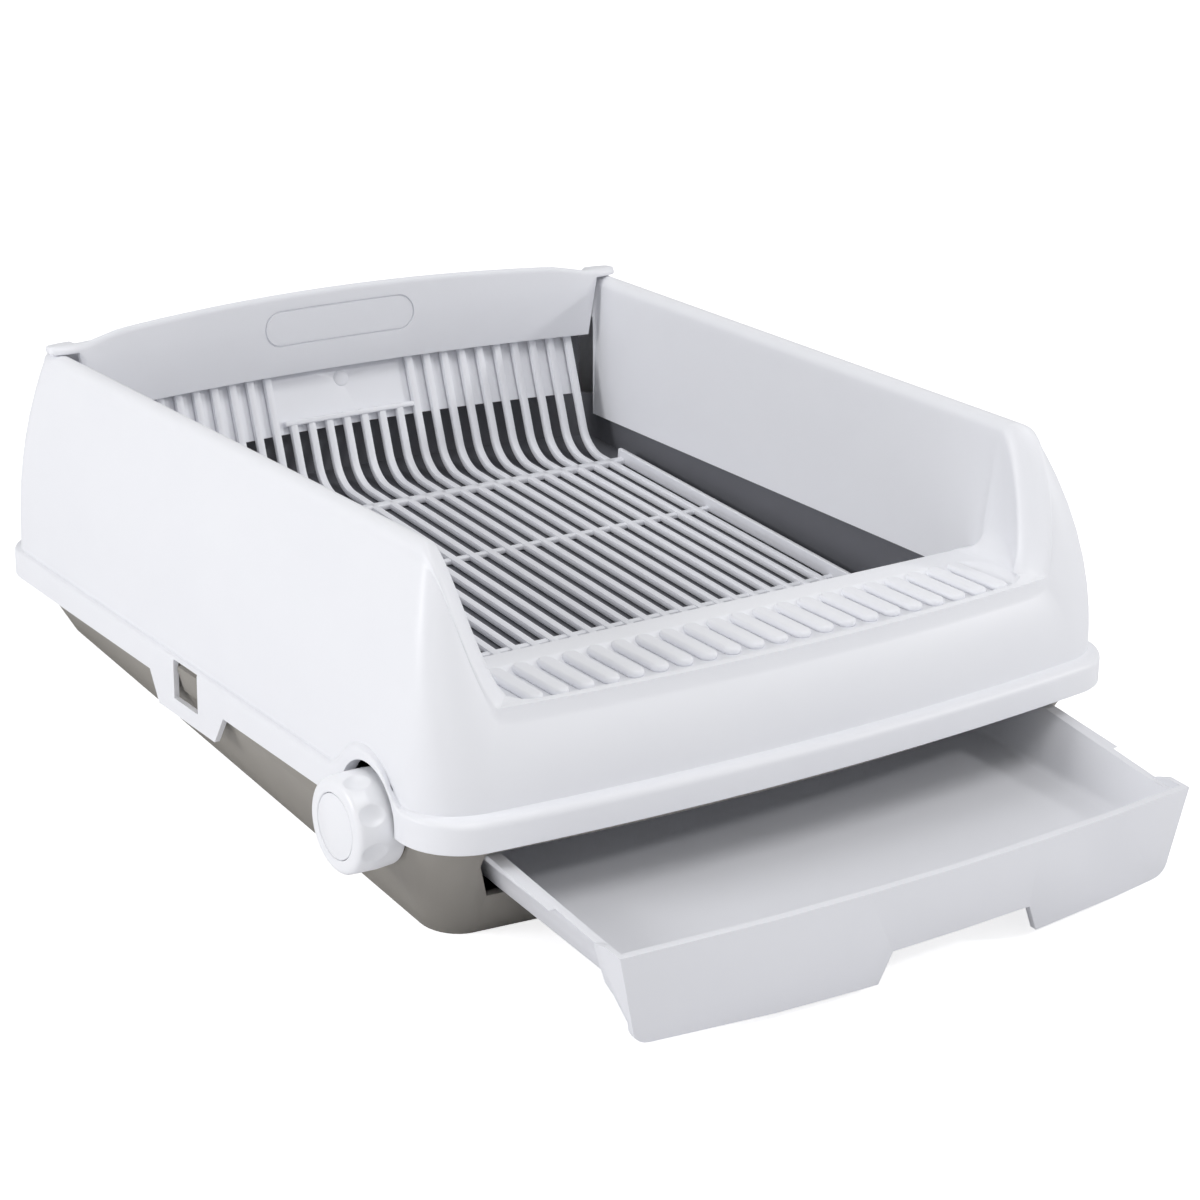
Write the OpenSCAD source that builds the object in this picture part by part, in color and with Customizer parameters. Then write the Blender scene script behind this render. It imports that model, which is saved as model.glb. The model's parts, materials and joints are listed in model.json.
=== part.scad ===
// Drawer litter box with a lift-out sifting comb, a knob-turned dump gate and a waste drawer.
// Millimetres. Origin on the floor under the middle of the body, front is -Y, up is +Z.
// The upper body sits nose-up on the base: everything inside upper() is drawn level and tipped once.

/* [Body] */
// Width over the skirt of the upper body
body_w = 430; // [420:1:460]
// Length over the skirt, front to back
body_l = 520; // [500:1:560]
// How far the front edge bows out
bow_front = 10; // [4:1:14]
// How far the rear edge bows out
bow_rear = 16; // [8:1:20]
// Corner radius of the upper body in plan
corner_r = 32; // [28:1:36]
// Wall thickness of the mouldings
wall = 3; // [2.5:0.1:3.5]
// Height of the skirt's lower edge above the floor, at mid length
rim_z = 50; // [50:0.5:54]
// Nose-up tilt of the upper body, in degrees
rim_tilt = 4; // [3.5:0.1:4.2]

/* [Upper body] */
// Height of the skirt up to the bead
skirt_h = 16; // [14:0.5:18]
// Step from the skirt in to the wall
bead_in = 7; // [6:0.5:8]
// Height of the side walls above the skirt's lower edge
wall_h = 134; // [128:1:142]
// Height of the entry step above the skirt's lower edge
step_h = 62; // [60:0.5:64]
// Radius of the rolled top of the walls
crest_r = 6.5; // [5.5:0.5:7]
// Inset of the rolled top at mid length
crest_in = 29; // [27:0.5:31]
// Depth of the entry tread, from the skirt's front edge back
tread_l = 90; // [88:0.5:92]
// Lower edge of the inner skin above the skirt's lower edge
skin_h = 44; // [43:0.5:46]
// Lower edge of the rear wall's inner lip above the skirt's lower edge
rear_lip_h = 108; // [107:0.5:112]
// Number of ribs on the tread
rib_count = 21; // [15:2:21]
// Distance of the outermost rib from the body's side
rib_in = 70; // [68:0.5:80]
// Width of a tread rib
rib_w = 9; // [6:0.5:10]
// Length of a tread rib
rib_l = 42; // [30:1:46]
// Height of a tread rib, and depth of the recess that it stands in
rib_h = 3; // [2:0.2:3.4]
// Width of a side clip tab
tab_w = 64; // [56:1:72]
// Depth of a side clip tab below the skirt
tab_h = 16; // [14:0.5:17]
// Width of the window in a clip tab
window_w = 27; // [24:0.5:30]
// Height of the window in a clip tab
window_h = 22; // [20:0.5:24]

/* [Base] */
// How far the base's foot stands in from the body's sides
foot_in = 31; // [29:0.5:33]
// How far the foot's front end stands in from the body's front
foot_in_front = 41; // [38:0.5:43]
// How far the foot's rear end stands in from the body's rear
foot_in_rear = 24; // [20:0.5:30]
// Height at which the flared walls turn upright
flare_z = 45; // [43:0.5:47]
// Thickness of a foot pad, which lies flush in the base's underside
pad_h = 1.6; // [1.2:0.1:2]
// Diameter of a foot pad
pad_d = 22; // [16:1:26]
// How far the pads' centres stand in from the body's sides
pad_in = 65; // [60:1:85]
// How far the pads' centres stand in from the body's ends
pad_in_end = 75; // [70:1:110]

/* [Drawer] */
// How far the drawer stands out in the resting pose
drawer_out = 103; // [60:1:130]
// Length of the drawer tray behind its front panel
drawer_l = 328; // [300:1:340]
// Height of the drawer's underside above the floor
drawer_z = 28; // [26:0.5:29]
// Height of the drawer's side walls
drawer_h = 29; // [27:0.5:30]
// How far the drawer's lips stand in from the body's sides
drawer_in = 37.5; // [37:0.5:41]
// How far each drawer side leans in from lip to floor
drawer_lean = 16; // [12:0.5:18]
// Width of the lip along the drawer's sides
lip_w = 6.5; // [5:0.5:8]
// Height of the front panel's top edge
panel_top = 55.4; // [54:0.2:57]
// Height of the front panel's bottom edge
panel_bottom = 4; // [3:0.5:8]
// How far the front panel's ends stand in from the body's sides
panel_in = 40; // [39.5:0.5:44]
// How far each end of the front panel leans in from top to bottom
panel_lean = 9; // [6:0.5:12]
// Depth of the returns behind the front panel's ends
return_l = 22; // [16:1:23]
// Width of the finger notch at its top
notch_w = 87; // [70:1:95]
// Depth of the finger notch
notch_h = 16; // [12:0.5:18]
// Side shift of the finger notch
notch_x = 22; // [0:1:25]

/* [Gate and knob] */
// Distance of the turning axis behind the body's front edge
axis_in = 72.5; // [71.5:0.5:74]
// Height of the turning axis
axis_z = 64; // [63.8:0.1:64.5]
// Diameter of the gate shaft
shaft_d = 8; // [7:0.5:8]
// Outer radius of the gate's hub
hub_r = 6.5; // [6:0.1:6.8]
// Reach of the gate from the axis
gate_reach = 48; // [47:0.5:48.5]
// Thickness of the gate
gate_t = 3; // [2.5:0.1:3.2]
// How far the gate's ends stand in from the body's sides
gate_in = 51; // [50:0.5:55]
// Lean of the closed gate from level, in degrees
gate_angle = 71.8; // [71.5:0.1:72.5]
// Largest diameter of the knob
knob_d = 49; // [46:0.5:49]
// Length of the knob from its face to its back
knob_l = 25.5; // [24:0.5:25.5]
// Diameter of the cap in the knob's face
cap_d = 32.8; // [28:0.2:34]
// Radius of the hollows for the fingers
dimple_r = 9; // [7:0.5:10]
// How far the knob's face stands out of the skirt
knob_out = 17.5; // [17:0.5:20]
// Number of finger hollows round the knob
dimple_count = 8; // [6:1:9]

/* [Sifting comb] */
// Distance of the outermost bar's middle from the comb's side
bar_in = 11.8; // [10:0.1:13]
// Width of a comb bar
bar_w = 5.2; // [4.5:0.1:5.6]
// Thickness of a comb bar
bar_t = 4; // [3.5:0.1:4.2]
// Number of comb bars
bar_count = 27; // [21:2:27]
// How far the comb's side rails stand in from the body's sides
comb_in = 42; // [41.8:0.1:43]
// Depth of the comb's side rails
rail_h = 9; // [7:0.5:10]
// Lowest bar face above the litter tray's floor
bar_gap = 0.5; // [0.4:0.1:1]
// How far the comb's rear bows back in the middle
comb_bow = 15; // [14.5:0.5:16]
// Width of the window in the comb's rear
comb_window_w = 87; // [80:1:92]
// Side shift of that window
comb_window_x = 2.5; // [0:0.5:5]
// How far the handle panel's ends stand in from the body's sides
handle_in = 42; // [41:0.5:45]
// How far the ends of its hooks stand in from the body's sides
hook_in = 20; // [18:0.5:22]
// Height of the handle panel's ends above the skirt's lower edge
handle_h = 139.5; // [138.5:0.5:142]
// How much higher the handle panel is in the middle
handle_arch = 5.5; // [3:0.5:8]
// Length of the moulded grip outline
grip_l = 104; // [90:1:115]
// Height of the moulded grip outline
grip_h = 22; // [18:1:24]
// How far the guard plate behind the bars stands in from the body's sides
guard_in = 52; // [50:0.5:55]

/* [Litter tray] */
// How far the tray's sides stand in from the body's
tray_in = 31; // [30.8:0.1:31.2]
// Height of the tray's side walls above the skirt's lower edge
tray_wall_h = 56; // [54:0.5:57]
// Thickness of the tray
tray_t = 2.4; // [2:0.1:2.5]
// Height of the tray's rear wall above the skirt's lower edge
tray_rear_h = 106; // [104:0.5:106.5]
// Height of the tray's underside above the floor
tray_z = 60; // [59.8:0.1:60.4]

/* [Clearances] */
// Gap between pieces that move past each other
gap = 0.3; // [0.25:0.05:0.4]
// Gap round a turning shaft
run = 0.1; // [0.05:0.01:0.1]

/* [Hidden] */
$fn = 48;
eps = 0.01;
N_F = 14;
N_C = 9;
N_S = 6;
N_B = 8;
M = N_F + N_B + 2 * N_S + 4 * N_C;
foot_half = body_w / 2 - foot_in;
foot_front = body_l / 2 - foot_in_front;
foot_rear = body_l / 2 - foot_in_rear;
foot_corner = 20;
flare_in = 9;
flare_in_front = 24;
flare_in_rear = 14;
flare_corner = 30;
pad_x = body_w / 2 - pad_in;
pad_y = body_l / 2 - pad_in_end;
drawer_half = body_w / 2 - drawer_in;
panel_half = body_w / 2 - panel_in;
mouth_gap = 1.2;
mouth_low = 6.5;
tread_back = tread_l - body_l / 2;
rib_pitch = (body_w - 2 * rib_in) / (rib_count - 1);
comb_half = body_w / 2 - comb_in;
bar_pitch = 2 * (comb_half - bar_in) / (bar_count - 1);
handle_w = body_w - 2 * handle_in;
hook_w = body_w - 2 * hook_in;
guard_w = body_w - 2 * guard_in;
gate_half = body_w / 2 - gate_in;
axis_y = body_l / 2 - axis_in;
tray_half = body_w / 2 - tray_in;
tray_in_front = 34;
tray_in_rear = 34.5;
tray_corner = 14;
shaft_r = shaft_d / 2;
bush_r = shaft_r + 3;
drawer_top = drawer_z + drawer_h;
panel_y = -(foot_front + 25.5) - drawer_out;
tray_floor = tray_z + tray_t;
tray_front = -axis_y + hub_r + 0.8;
bar_z = tray_floor + bar_gap;
knob_r = knob_d / 2;
knob_face = -body_w / 2 - knob_out;
knob_rim = knob_face + knob_l;
seat_x = body_w / 2 - 28;
seat_w = 12;
seat_l = 34;
cap_screw_y = 12.5;
cap_screw_l = 20;
runner_x = 120;
post_w = 12;
drawer_round = 8;
cup_x = knob_rim + 0.5;
arch_r = knob_r + 0.7;
arch_up = 3.5;
brow_r = knob_r + 7;
brow_up = 5.5;
brow_z = 77.5;
flange_t = 1.5;
stem_r = 9;
stem_end = -seat_x - seat_w - flange_t - 2 * gap;
shaft_in = knob_face + 8.5;
shaft_out = seat_x + seat_w + flange_t + 4.5;
ear_x = gate_half + 2;
ear_t = 6;
pin_x = gate_half - 14;
base_top = skirt_h - wall - 1.2;
slope = 66;
bend_r = 26;
rail_back = body_l / 2 - 36.5;
rail_front = body_l / 2 - 46.1;
rail_low = 100.3;
rail_top = 105;
panel_front = body_l / 2 - 50;
panel_t = 3.5;
panel_low = 98;
panel_mid = panel_low + 30;
bar_top_z = world_z(panel_front, panel_low) + 3.9;
window_z = bar_top_z - 31;
foot_y = world_y(panel_front, panel_low) + 10.2 - (bar_top_z - bar_z) / tan(slope);
comb_front = -axis_y + hub_r + 7.2;
comb_end = body_l / 2 - 110;
screw_x = 120;
head_sink = 2.4;
hook_lead = 6;
notch_flare = 9.5;
panel_r = 1918;
drawer_y0 = panel_y + 5;
drawer_y1 = drawer_y0 + drawer_l;
BODY = "#edeef3";
TAUPE = "#8d8a85";
GREY = "#d3d4d9";
STEEL = "#b9bcc0";

// ---- shared forms ----

// Tips level children nose-up onto the base
module upper() {
    translate([0, 0, rim_z])
        rotate([-rim_tilt, 0, 0])
            children();
}

// Height in the world of a point of the upper body
function world_z(y, h) = rim_z - y * sin(rim_tilt) + h * cos(rim_tilt);
function world_y(y, h) = y * cos(rim_tilt) + h * sin(rim_tilt);

// Point i of a rounded outline with bowed ends: a half width, f front and b rear reach,
// r and q the corner radii in front and behind
function outline_pt(a, f, b, r, q, i) =
    let (
        tf = atan(2 * bow_front / (a - r)),
        tb = atan(2 * bow_rear / (a - q)),
        cf = -f + bow_front + r * cos(tf),
        cb = b - bow_rear - q * cos(tb),
        k1 = N_F,
        k2 = k1 + N_C,
        k3 = k2 + N_S,
        k4 = k3 + N_C,
        k5 = k4 + N_B,
        k6 = k5 + N_C,
        k7 = k6 + N_S
    )
    i < k1 ? let (t = -1 + 2 * i / N_F) [t * (a - r + r * sin(tf)), -f + bow_front * t * t]
    : i < k2 ? let (w = tf + (90 - tf) * (i - k1) / N_C) [a - r + r * sin(w), cf - r * cos(w)]
    : i < k3 ? [a, cf + (cb - cf) * (i - k2) / N_S]
    : i < k4 ? let (w = 90 + (90 - tb) * (i - k3) / N_C) [a - q + q * sin(w), cb - q * cos(w)]
    : i < k5 ? let (t = 1 - 2 * (i - k4) / N_B) [t * (a - q + q * sin(tb)), b - bow_rear * t * t]
    : i < k6 ? let (w = 180 - tb - (90 - tb) * (i - k5) / N_C) [-(a - q + q * sin(w)), cb - q * cos(w)]
    : i < k7 ? [-a, cb + (cf - cb) * (i - k6) / N_S]
    : let (w = 90 - (90 - tf) * (i - k7) / N_C) [-(a - r + r * sin(w)), cf - r * cos(w)];

function outline(a, f, b, r) = [for (i = [0:M - 1]) outline_pt(a, f, b, r, r, i)];

// Outline of the upper body, set in by d
function rim_pt(d, i) =
    outline_pt(body_w / 2 - d, body_l / 2 - d, body_l / 2 - d, corner_r, corner_r - 0.6 * d, i);
function rim_outline(d) = [for (i = [0:M - 1]) rim_pt(d, i)];

// 0 along the entry step, 1 along the side and rear walls, smooth round the front corners
function smooth(u) = let (c = min(1, max(0, u))) c * c * (3 - 2 * c);
function rise(i) =
    i < N_F ? smooth((abs(-1 + 2 * i / N_F) - 0.9) * 0.9)
    : i < N_F + N_C ? smooth(((i - N_F) / N_C + 0.1) / 1.02)
    : i > M - N_C ? smooth(((M - i) / N_C + 0.1) / 1.02)
    : 1;

// True from the rear corners round the rear wall
function behind(i) = i > N_F + N_C + N_S && i < N_F + 3 * N_C + N_S + N_B;

function crest_height(i) = step_h + (wall_h - step_h) * rise(i);
function crest_inset(i) =
    let (side = crest_in - 0.015 * rim_pt(crest_in, i)[1])
    24 + (side - 24) * rise(i);

// Outer wall: upright at the bead, leaning in towards the rolled top
function wall_pt(i, f, t) =
    let (
        d0 = bead_in + t,
        d1 = crest_inset(i) - crest_r + t,
        h0 = skirt_h + 0.6,
        h1 = crest_height(i) - crest_r
    )
    [d0 + (d1 - d0) * pow(f, 2.3), h0 + (h1 - h0) * f];

// Rear end of the tread, or the inner skin along the sides
function skin_xy(i, t) =
    let (p = rim_pt(crest_inset(i) + crest_r + 3 - t, i), y0 = tread_back - t)
    [p[0], p[1] < y0 ? y0 + (p[1] - y0) * 0.02 : p[1]];

function on_rim(i, p) = let (q = rim_pt(p[0], i)) [q[0], q[1], p[1]];

// One section through the double wall, from the skirt's edge over the top and back underneath
function shell_section(i) =
    let (
        c = crest_inset(i),
        h = crest_height(i),
        r = crest_r,
        floor_h = behind(i) ? rear_lip_h + wall + 0.4 : step_h - rib_h,
        k = rise(i),
        foot = floor_h + 10 * k,
        skin = skin_xy(i, 0),
        back = skin_xy(i, wall),
        lip = behind(i) ? rear_lip_h : skin_h
    )
    [
        on_rim(i, [0, 0]),
        on_rim(i, [0, skirt_h - 4]),
        on_rim(i, [1.2, skirt_h - 1.2]),
        on_rim(i, [4, skirt_h]),
        for (f = [0, 0.3, 0.6, 0.85]) on_rim(i, wall_pt(i, f, 0)),
        for (w = [180, 144, 108, 72, 36, 0]) on_rim(i, [c - r * -cos(w), max(h - r + r * sin(w), floor_h)]),
        on_rim(i, [c + r + 0.6, foot]),
        on_rim(i, [c + r + 2.2, floor_h]),
        [skin[0], skin[1], floor_h - 0.4],
        [skin[0], skin[1], lip],
        [back[0], back[1], lip],
        [back[0], back[1], floor_h - wall],
        on_rim(i, [c + r - wall, min(h - r, floor_h - wall + 8 * k)]),
        on_rim(i, [c + (r - wall) * k, h - wall - 0.4]),
        on_rim(i, [c - (r - wall), h - wall - 1]),
        for (f = [0.85, 0.6, 0.3]) on_rim(i, wall_pt(i, f, wall)),
        on_rim(i, [bead_in + wall, skirt_h - wall]),
        on_rim(i, [wall, skirt_h - wall - 1]),
        on_rim(i, [wall, 0])
    ];

// Skins sections that each have the same number of points into a closed ring
module ring_loft(sections) {
    n = len(sections);
    k = len(sections[0]);
    pts = [for (s = sections) each s];
    faces = [for (i = [0:n - 1], j = [0:k - 1])
        let (m = (i + 1) % n, a = i * k + j, b = i * k + (j + 1) % k, c = m * k + (j + 1) % k, d = m * k + j)
        each [[a, c, d], [a, b, c]]];
    polyhedron(points = pts, faces = faces, convexity = 10);
}

// Straight slot with round ends, flat, centred, long side along Y
module capsule(w, l) {
    square([w, l - w], center = true);
    translate([0, (l - w) / 2])
        circle(d = w);
    translate([0, -(l - w) / 2])
        circle(d = w);
}

// Skins sections that each have the same number of points into a bar with flat ends
module strip_loft(sections) {
    n = len(sections);
    k = len(sections[0]);
    pts = [for (s = sections) each s];
    sides = [for (i = [0:n - 2], j = [0:k - 1])
        let (a = i * k + j, b = i * k + (j + 1) % k, c = (i + 1) * k + (j + 1) % k, d = (i + 1) * k + j)
        each [[a, c, d], [a, b, c]]];
    first = [[for (j = [k - 1:-1:0]) j]];
    last = [[for (j = [0:k - 1]) (n - 1) * k + j]];
    polyhedron(points = pts, faces = concat(sides, first, last), convexity = 10);
}

// A cylinder along X from x0 to x1 on the turning axis
module along_axis(r, x0, x1) {
    translate([x0, -axis_y, axis_z])
        rotate([0, 90, 0])
            cylinder(r = r, h = x1 - x0);
}

// A profile in the YZ plane drawn out along X from x0 to x1
module across(x0, x1) {
    translate([x0, 0, 0])
        rotate([90, 0, 90])
            linear_extrude(height = x1 - x0)
                children();
}

// Pan-head screw pointing down, underside of the head on the plane z = 0
module screw(d, l) {
    translate([0, 0, -l])
        cylinder(d = d, h = l);
    cylinder(d = d * 1.9, h = d * 0.6);
}

// ---- base ----

module base_form(t) {
    hull() {
        translate([0, 0, t])
            linear_extrude(height = eps)
                polygon(outline(foot_half - t, foot_front - t, foot_rear - t, foot_corner));
        translate([0, 0, flare_z])
            linear_extrude(height = eps)
                polygon(outline(
                    body_w / 2 - flare_in - t, body_l / 2 - flare_in_front - t,
                    body_l / 2 - flare_in_rear - t, flare_corner
                ));
        upper()
            translate([0, 0, base_top - eps + t])
                linear_extrude(height = eps)
                    polygon(rim_outline(wall + gap + 0.5 + t));
    }
}

// Opening in the base's front wall that the drawer runs through
module mouth() {
    low_half = drawer_half - drawer_lean + mouth_low;
    half = drawer_half + mouth_gap;
    polygon([
        [-low_half, drawer_z - mouth_gap],
        [low_half, drawer_z - mouth_gap],
        [half, drawer_top - 7],
        [half, drawer_top + mouth_gap],
        [-half, drawer_top + mouth_gap],
        [-half, drawer_top - 7]
    ]);
}

module clip_catch(s) {
    upper()
        translate([s * (body_w / 2 - 6), 0, 6])
            rotate([90, 0, 0])
                linear_extrude(height = window_w - 4, center = true)
                    polygon([[-s * 6, -9], [s * 1, -9], [s * 4.5, 3], [s * 4.5, 5.4], [-s * 6, 5.4]]);
}

// Half round seat for a shaft bush, on a post that grows out of the side wall
module bearing_seat(s) {
    x0 = s > 0 ? seat_x : -seat_x - seat_w;
    difference() {
        translate([x0, -axis_y - seat_l / 2, wall - 1])
            cube([seat_w, seat_l, axis_z - gap / 2 - wall + 1]);
        along_axis(bush_r, x0 - 1, x0 + seat_w + 1);
    }
}

module bearing_screw_holes(s) {
    for (dy = [-cap_screw_y, cap_screw_y])
        translate([s * (seat_x + seat_w / 2), -axis_y + dy, axis_z - 12])
            cylinder(d = 3, h = 40);
}

module base_pan() {
    color(TAUPE)
        difference() {
            union() {
                difference() {
                    base_form(0);
                    base_form(wall);
                }
                intersection() {
                    base_form(0);
                    for (s = [-1, 1]) {
                        // drawer runners
                        translate([s * runner_x - 4, -foot_front + 8, wall - 1])
                            cube([8, drawer_l, drawer_z - gap - wall + 1]);
                        // posts under the litter tray
                        for (y = [-120, 60])
                            translate([s > 0 ? drawer_half + 5 : -drawer_half - 5 - post_w, y, wall - 1])
                                cube([post_w, post_w, tray_z - wall + 1]);
                        translate([s * runner_x - post_w / 2, foot_rear - 60, wall - 1])
                            cube([post_w, post_w, tray_z - wall + 1]);
                        bearing_seat(s);
                    }
                    // back of the pocket for the knob
                    along_axis(knob_r + 2.5, cup_x, cup_x + wall);
                }
                for (s = [-1, 1])
                    clip_catch(s);
            }
            for (s = [-1, 1])
                bearing_screw_holes(s);
            // drawer mouth in the front wall
            translate([0, -foot_front + 30, 0])
                rotate([90, 0, 0])
                    linear_extrude(height = 80)
                        mouth();
            // pocket for the knob and hole for its stem
            along_axis(knob_r + 0.5, -body_w / 2 - 1, cup_x);
            along_axis(stem_r + 1.5, -body_w / 2, -seat_x - seat_w - gap);
            // pad pockets
            for (x = [-pad_x, pad_x], y = [-pad_y, pad_y])
                translate([x, y, -1])
                    cylinder(d = pad_d + 0.2, h = 1 + pad_h);
        }
}

module rubber_feet() {
    color("#4a4a4c")
        for (x = [-pad_x, pad_x], y = [-pad_y, pad_y])
            translate([x, y, 0])
                cylinder(d = pad_d, h = pad_h);
}

// ---- litter tray ----

// Plan of the tray grown by t, in the upper body's frame
function tray_outline(t) =
    let (front = body_l / 2 - tray_in_front + t, rear = body_l / 2 - tray_in_rear + t)
    [for (i = [0:M - 1]) outline_pt(tray_half + t, front, rear, tray_corner, tray_corner + t, i)];

module litter_tray() {
    color("#5f6066")
        difference() {
            union() {
                // walls, higher behind
                difference() {
                    upper()
                        difference() {
                            linear_extrude(height = tray_rear_h)
                                polygon(tray_outline(tray_t));
                            translate([0, 0, -1])
                                linear_extrude(height = tray_rear_h + 2)
                                    polygon(tray_outline(0));
                            translate([-body_w / 2, -body_l, tray_wall_h])
                                cube([body_w, body_l + 200, body_l]);
                            for (s = [-1, 1])
                                translate([s * (comb_half + 22), body_l / 2, tray_wall_h + body_l / 2])
                                    cube([40, body_l, body_l], center = true);
                        }
                    translate([0, 0, tray_z - 100])
                        cube([body_w, body_l, 200], center = true);
                }
                // level floor
                intersection() {
                    upper()
                        linear_extrude(height = tray_wall_h)
                            polygon(tray_outline(tray_t));
                    translate([0, 0, tray_z + tray_t / 2])
                        cube([body_w, body_l, tray_t], center = true);
                }
            }
            // open front
            translate([-body_w / 2, tray_front - body_l, 0])
                cube([body_w, body_l, body_l]);
        }
}

// ---- upper body ----

module tread_ribs() {
    y0 = (tread_back - body_l / 2 + 18) / 2 - 1;
    for (k = [0:rib_count - 1])
        translate([(k - (rib_count - 1) / 2) * rib_pitch, y0])
            capsule(rib_w, rib_l);
}

// Clip tab on the side of the skirt, wide end up
module clip_tab(s) {
    top = skirt_h - 6;
    translate([s * (body_w / 2 - wall / 2), 0, 0])
        rotate([90, 0, 90])
            linear_extrude(height = wall, center = true)
                polygon([
                    [-tab_w / 2, -tab_h],
                    [tab_w / 2, -tab_h],
                    [tab_w / 2 + 10, 0],
                    [tab_w / 2 + 10, top],
                    [-tab_w / 2 - 10, top],
                    [-tab_w / 2 - 10, 0]
                ]);
}

// The upper body's frame undone: children are drawn in the world frame inside upper()
module level() {
    rotate([rim_tilt, 0, 0])
        translate([0, 0, -rim_z])
            children();
}

module shroud() {
    color(BODY)
        upper()
            difference() {
                union() {
                    ring_loft([for (i = [0:M - 1]) shell_section(i)]);
                    translate([0, 0, step_h - rib_h - 1])
                        linear_extrude(height = rib_h + 1)
                            tread_ribs();
                    for (s = [-1, 1])
                        clip_tab(s);
                    // eyebrow over the knob
                    level()
                        difference() {
                            translate([0, 0, brow_up])
                                along_axis(brow_r, -body_w / 2, -body_w / 2 + 8);
                            translate([-body_w, -body_l, -body_l])
                                cube([body_w, body_l, body_l + brow_z]);
                        }
                }
                for (s = [-1, 1])
                    translate([s * (body_w / 2), 0, 4])
                        cube([3 * wall, window_w, window_h], center = true);
                // arch over the knob and its stem
                level() {
                    translate([0, 0, arch_up]) {
                        along_axis(arch_r, -body_w / 2 - 5, -body_w / 2 + 10.5);
                        translate([-body_w / 2 - 5, -axis_y - arch_r, 0])
                            cube([15.5, 2 * arch_r, axis_z]);
                    }
                    along_axis(stem_r + 1.5, -body_w / 2 - 5, -body_w / 2 + 16);
                }
            }
}

// ---- sifting comb ----

function bow(x) = comb_bow * pow(x / (handle_w / 2), 2);

// Point on the rear slope at height z, o in front of the bar's rear face, moved forward by d
function slope_pt(z, o, d) = [foot_y - d + (z - bar_z) / tan(slope) - o / sin(slope), z];

function bar_line(o, d, top) = [
    [comb_front, bar_z + o],
    for (k = [0:5])
        let (w = -90 + slope * k / 5, bend_y = foot_y - d - bend_r * tan(slope / 2))
        [bend_y + (bend_r - o) * cos(w), bar_z + bend_r + (bend_r - o) * sin(w)],
    slope_pt(top, o, d)
];

// Side view of a bar: along the tray's floor, round the corner and up the rear slope
module bar_side(d, top) {
    front = bar_line(bar_t, d, top);
    polygon(concat(bar_line(0, d, top), [for (k = [len(front) - 1:-1:0]) front[k]]));
}

module comb_ear(s) {
    x0 = s > 0 ? ear_x : -ear_x - ear_t;
    along_axis(shaft_r + 2.5, x0, x0 + ear_t);
    across(x0, x0 + ear_t)
        translate([-axis_y, bar_z])
            square([20, bar_t + 2]);
}

function rail_section(x, y0, y1, z0, z1) =
    [[x, y0 - bow(x), z0], [x, y0 - bow(x), z1], [x, y1 - bow(x), z1], [x, y1 - bow(x), z0]];

module sifting_comb() {
    span = (bar_count - 1) / 2 * bar_pitch;
    end = handle_w / 2 - 6;
    color("#e2e3e8")
        difference() {
            union() {
                for (k = [0:bar_count - 1])
                    let (x = -span + k * bar_pitch, cut = abs(x - comb_window_x) < comb_window_w / 2)
                    across(x - bar_w / 2, x + bar_w / 2)
                        bar_side(bow(x), cut ? window_z : bar_top_z);
                // front bar behind the hub, two stiffeners and the side rails
                across(-comb_half, comb_half)
                    translate([comb_front, bar_z])
                        square([7, bar_t]);
                for (y = [-60, 60])
                    across(-comb_half, comb_half)
                        translate([y, bar_z])
                            square([4, bar_t - 1]);
                for (s = [-1, 1]) {
                    translate([s > 0 ? comb_half - 3 : -comb_half, comb_front, bar_z])
                        cube([3, comb_end + 8 - comb_front, rail_h]);
                    comb_ear(s);
                }
                across(-comb_half, comb_half)
                    translate([comb_end, bar_z])
                        square([6, bar_t]);
                // ledge under the window
                across(comb_window_x - comb_window_w / 2 - 2, comb_window_x + comb_window_w / 2 + 2)
                    polygon([
                        slope_pt(window_z - 3, 0, 0.9),
                        slope_pt(window_z - 3, bar_t, 0.9),
                        slope_pt(window_z, bar_t, 0.9),
                        slope_pt(window_z, 0, 0.9)
                    ]);
                // head rail behind the handle panel, with the tab that holds the guard
                upper() {
                    strip_loft([for (k = [-12:12])
                        rail_section(k / 12 * end, rail_front, rail_back, rail_low, rail_top)]);
                    translate([comb_window_x - 12, rail_back - 1.7, rail_low - 16])
                        cube([24, 1.7, 17]);
                }
            }
            for (x = [-ear_x - ear_t, ear_x])
                along_axis(shaft_r + run, x - 1, x + ear_t + 1);
            upper() {
                for (s = [-1, 1])
                    translate([s * screw_x, 0, (rail_low + rail_top) / 2])
                        rotate([-90, 0, 0]) {
                            cylinder(d = 3.2, h = body_l);
                            translate([0, 0, rail_back - bow(screw_x) - head_sink])
                                cylinder(d = 5.6, h = 10);
                        }
                translate([comb_window_x, 0, rail_low - 11])
                    rotate([-90, 0, 0])
                        cylinder(d = 4.2, h = body_l);
            }
        }
}

// ---- handle panel ----

// Section through the panel: upright front, rolled top that reaches back over the rear wall's top
function panel_section(x) =
    let (f = panel_front - bow(x), top = handle_h + handle_arch * (1 - pow(2 * x / handle_w, 2)), t = panel_t)
    [for (p = [
        [f, panel_low], [f + 1.5, panel_mid], [f + 2.6, top - 5], [f + 4, top - 1.8], [f + 7, top - 0.2],
        [f + 16, top - 0.8], [f + 16, top - 3.4], [f + 8.5, top - 3.6], [f + 6.4, top - 6.5],
        [f + t + 1.5, panel_mid], [f + t, panel_low]
    ]) [x, p[0], p[1]]];

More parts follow.
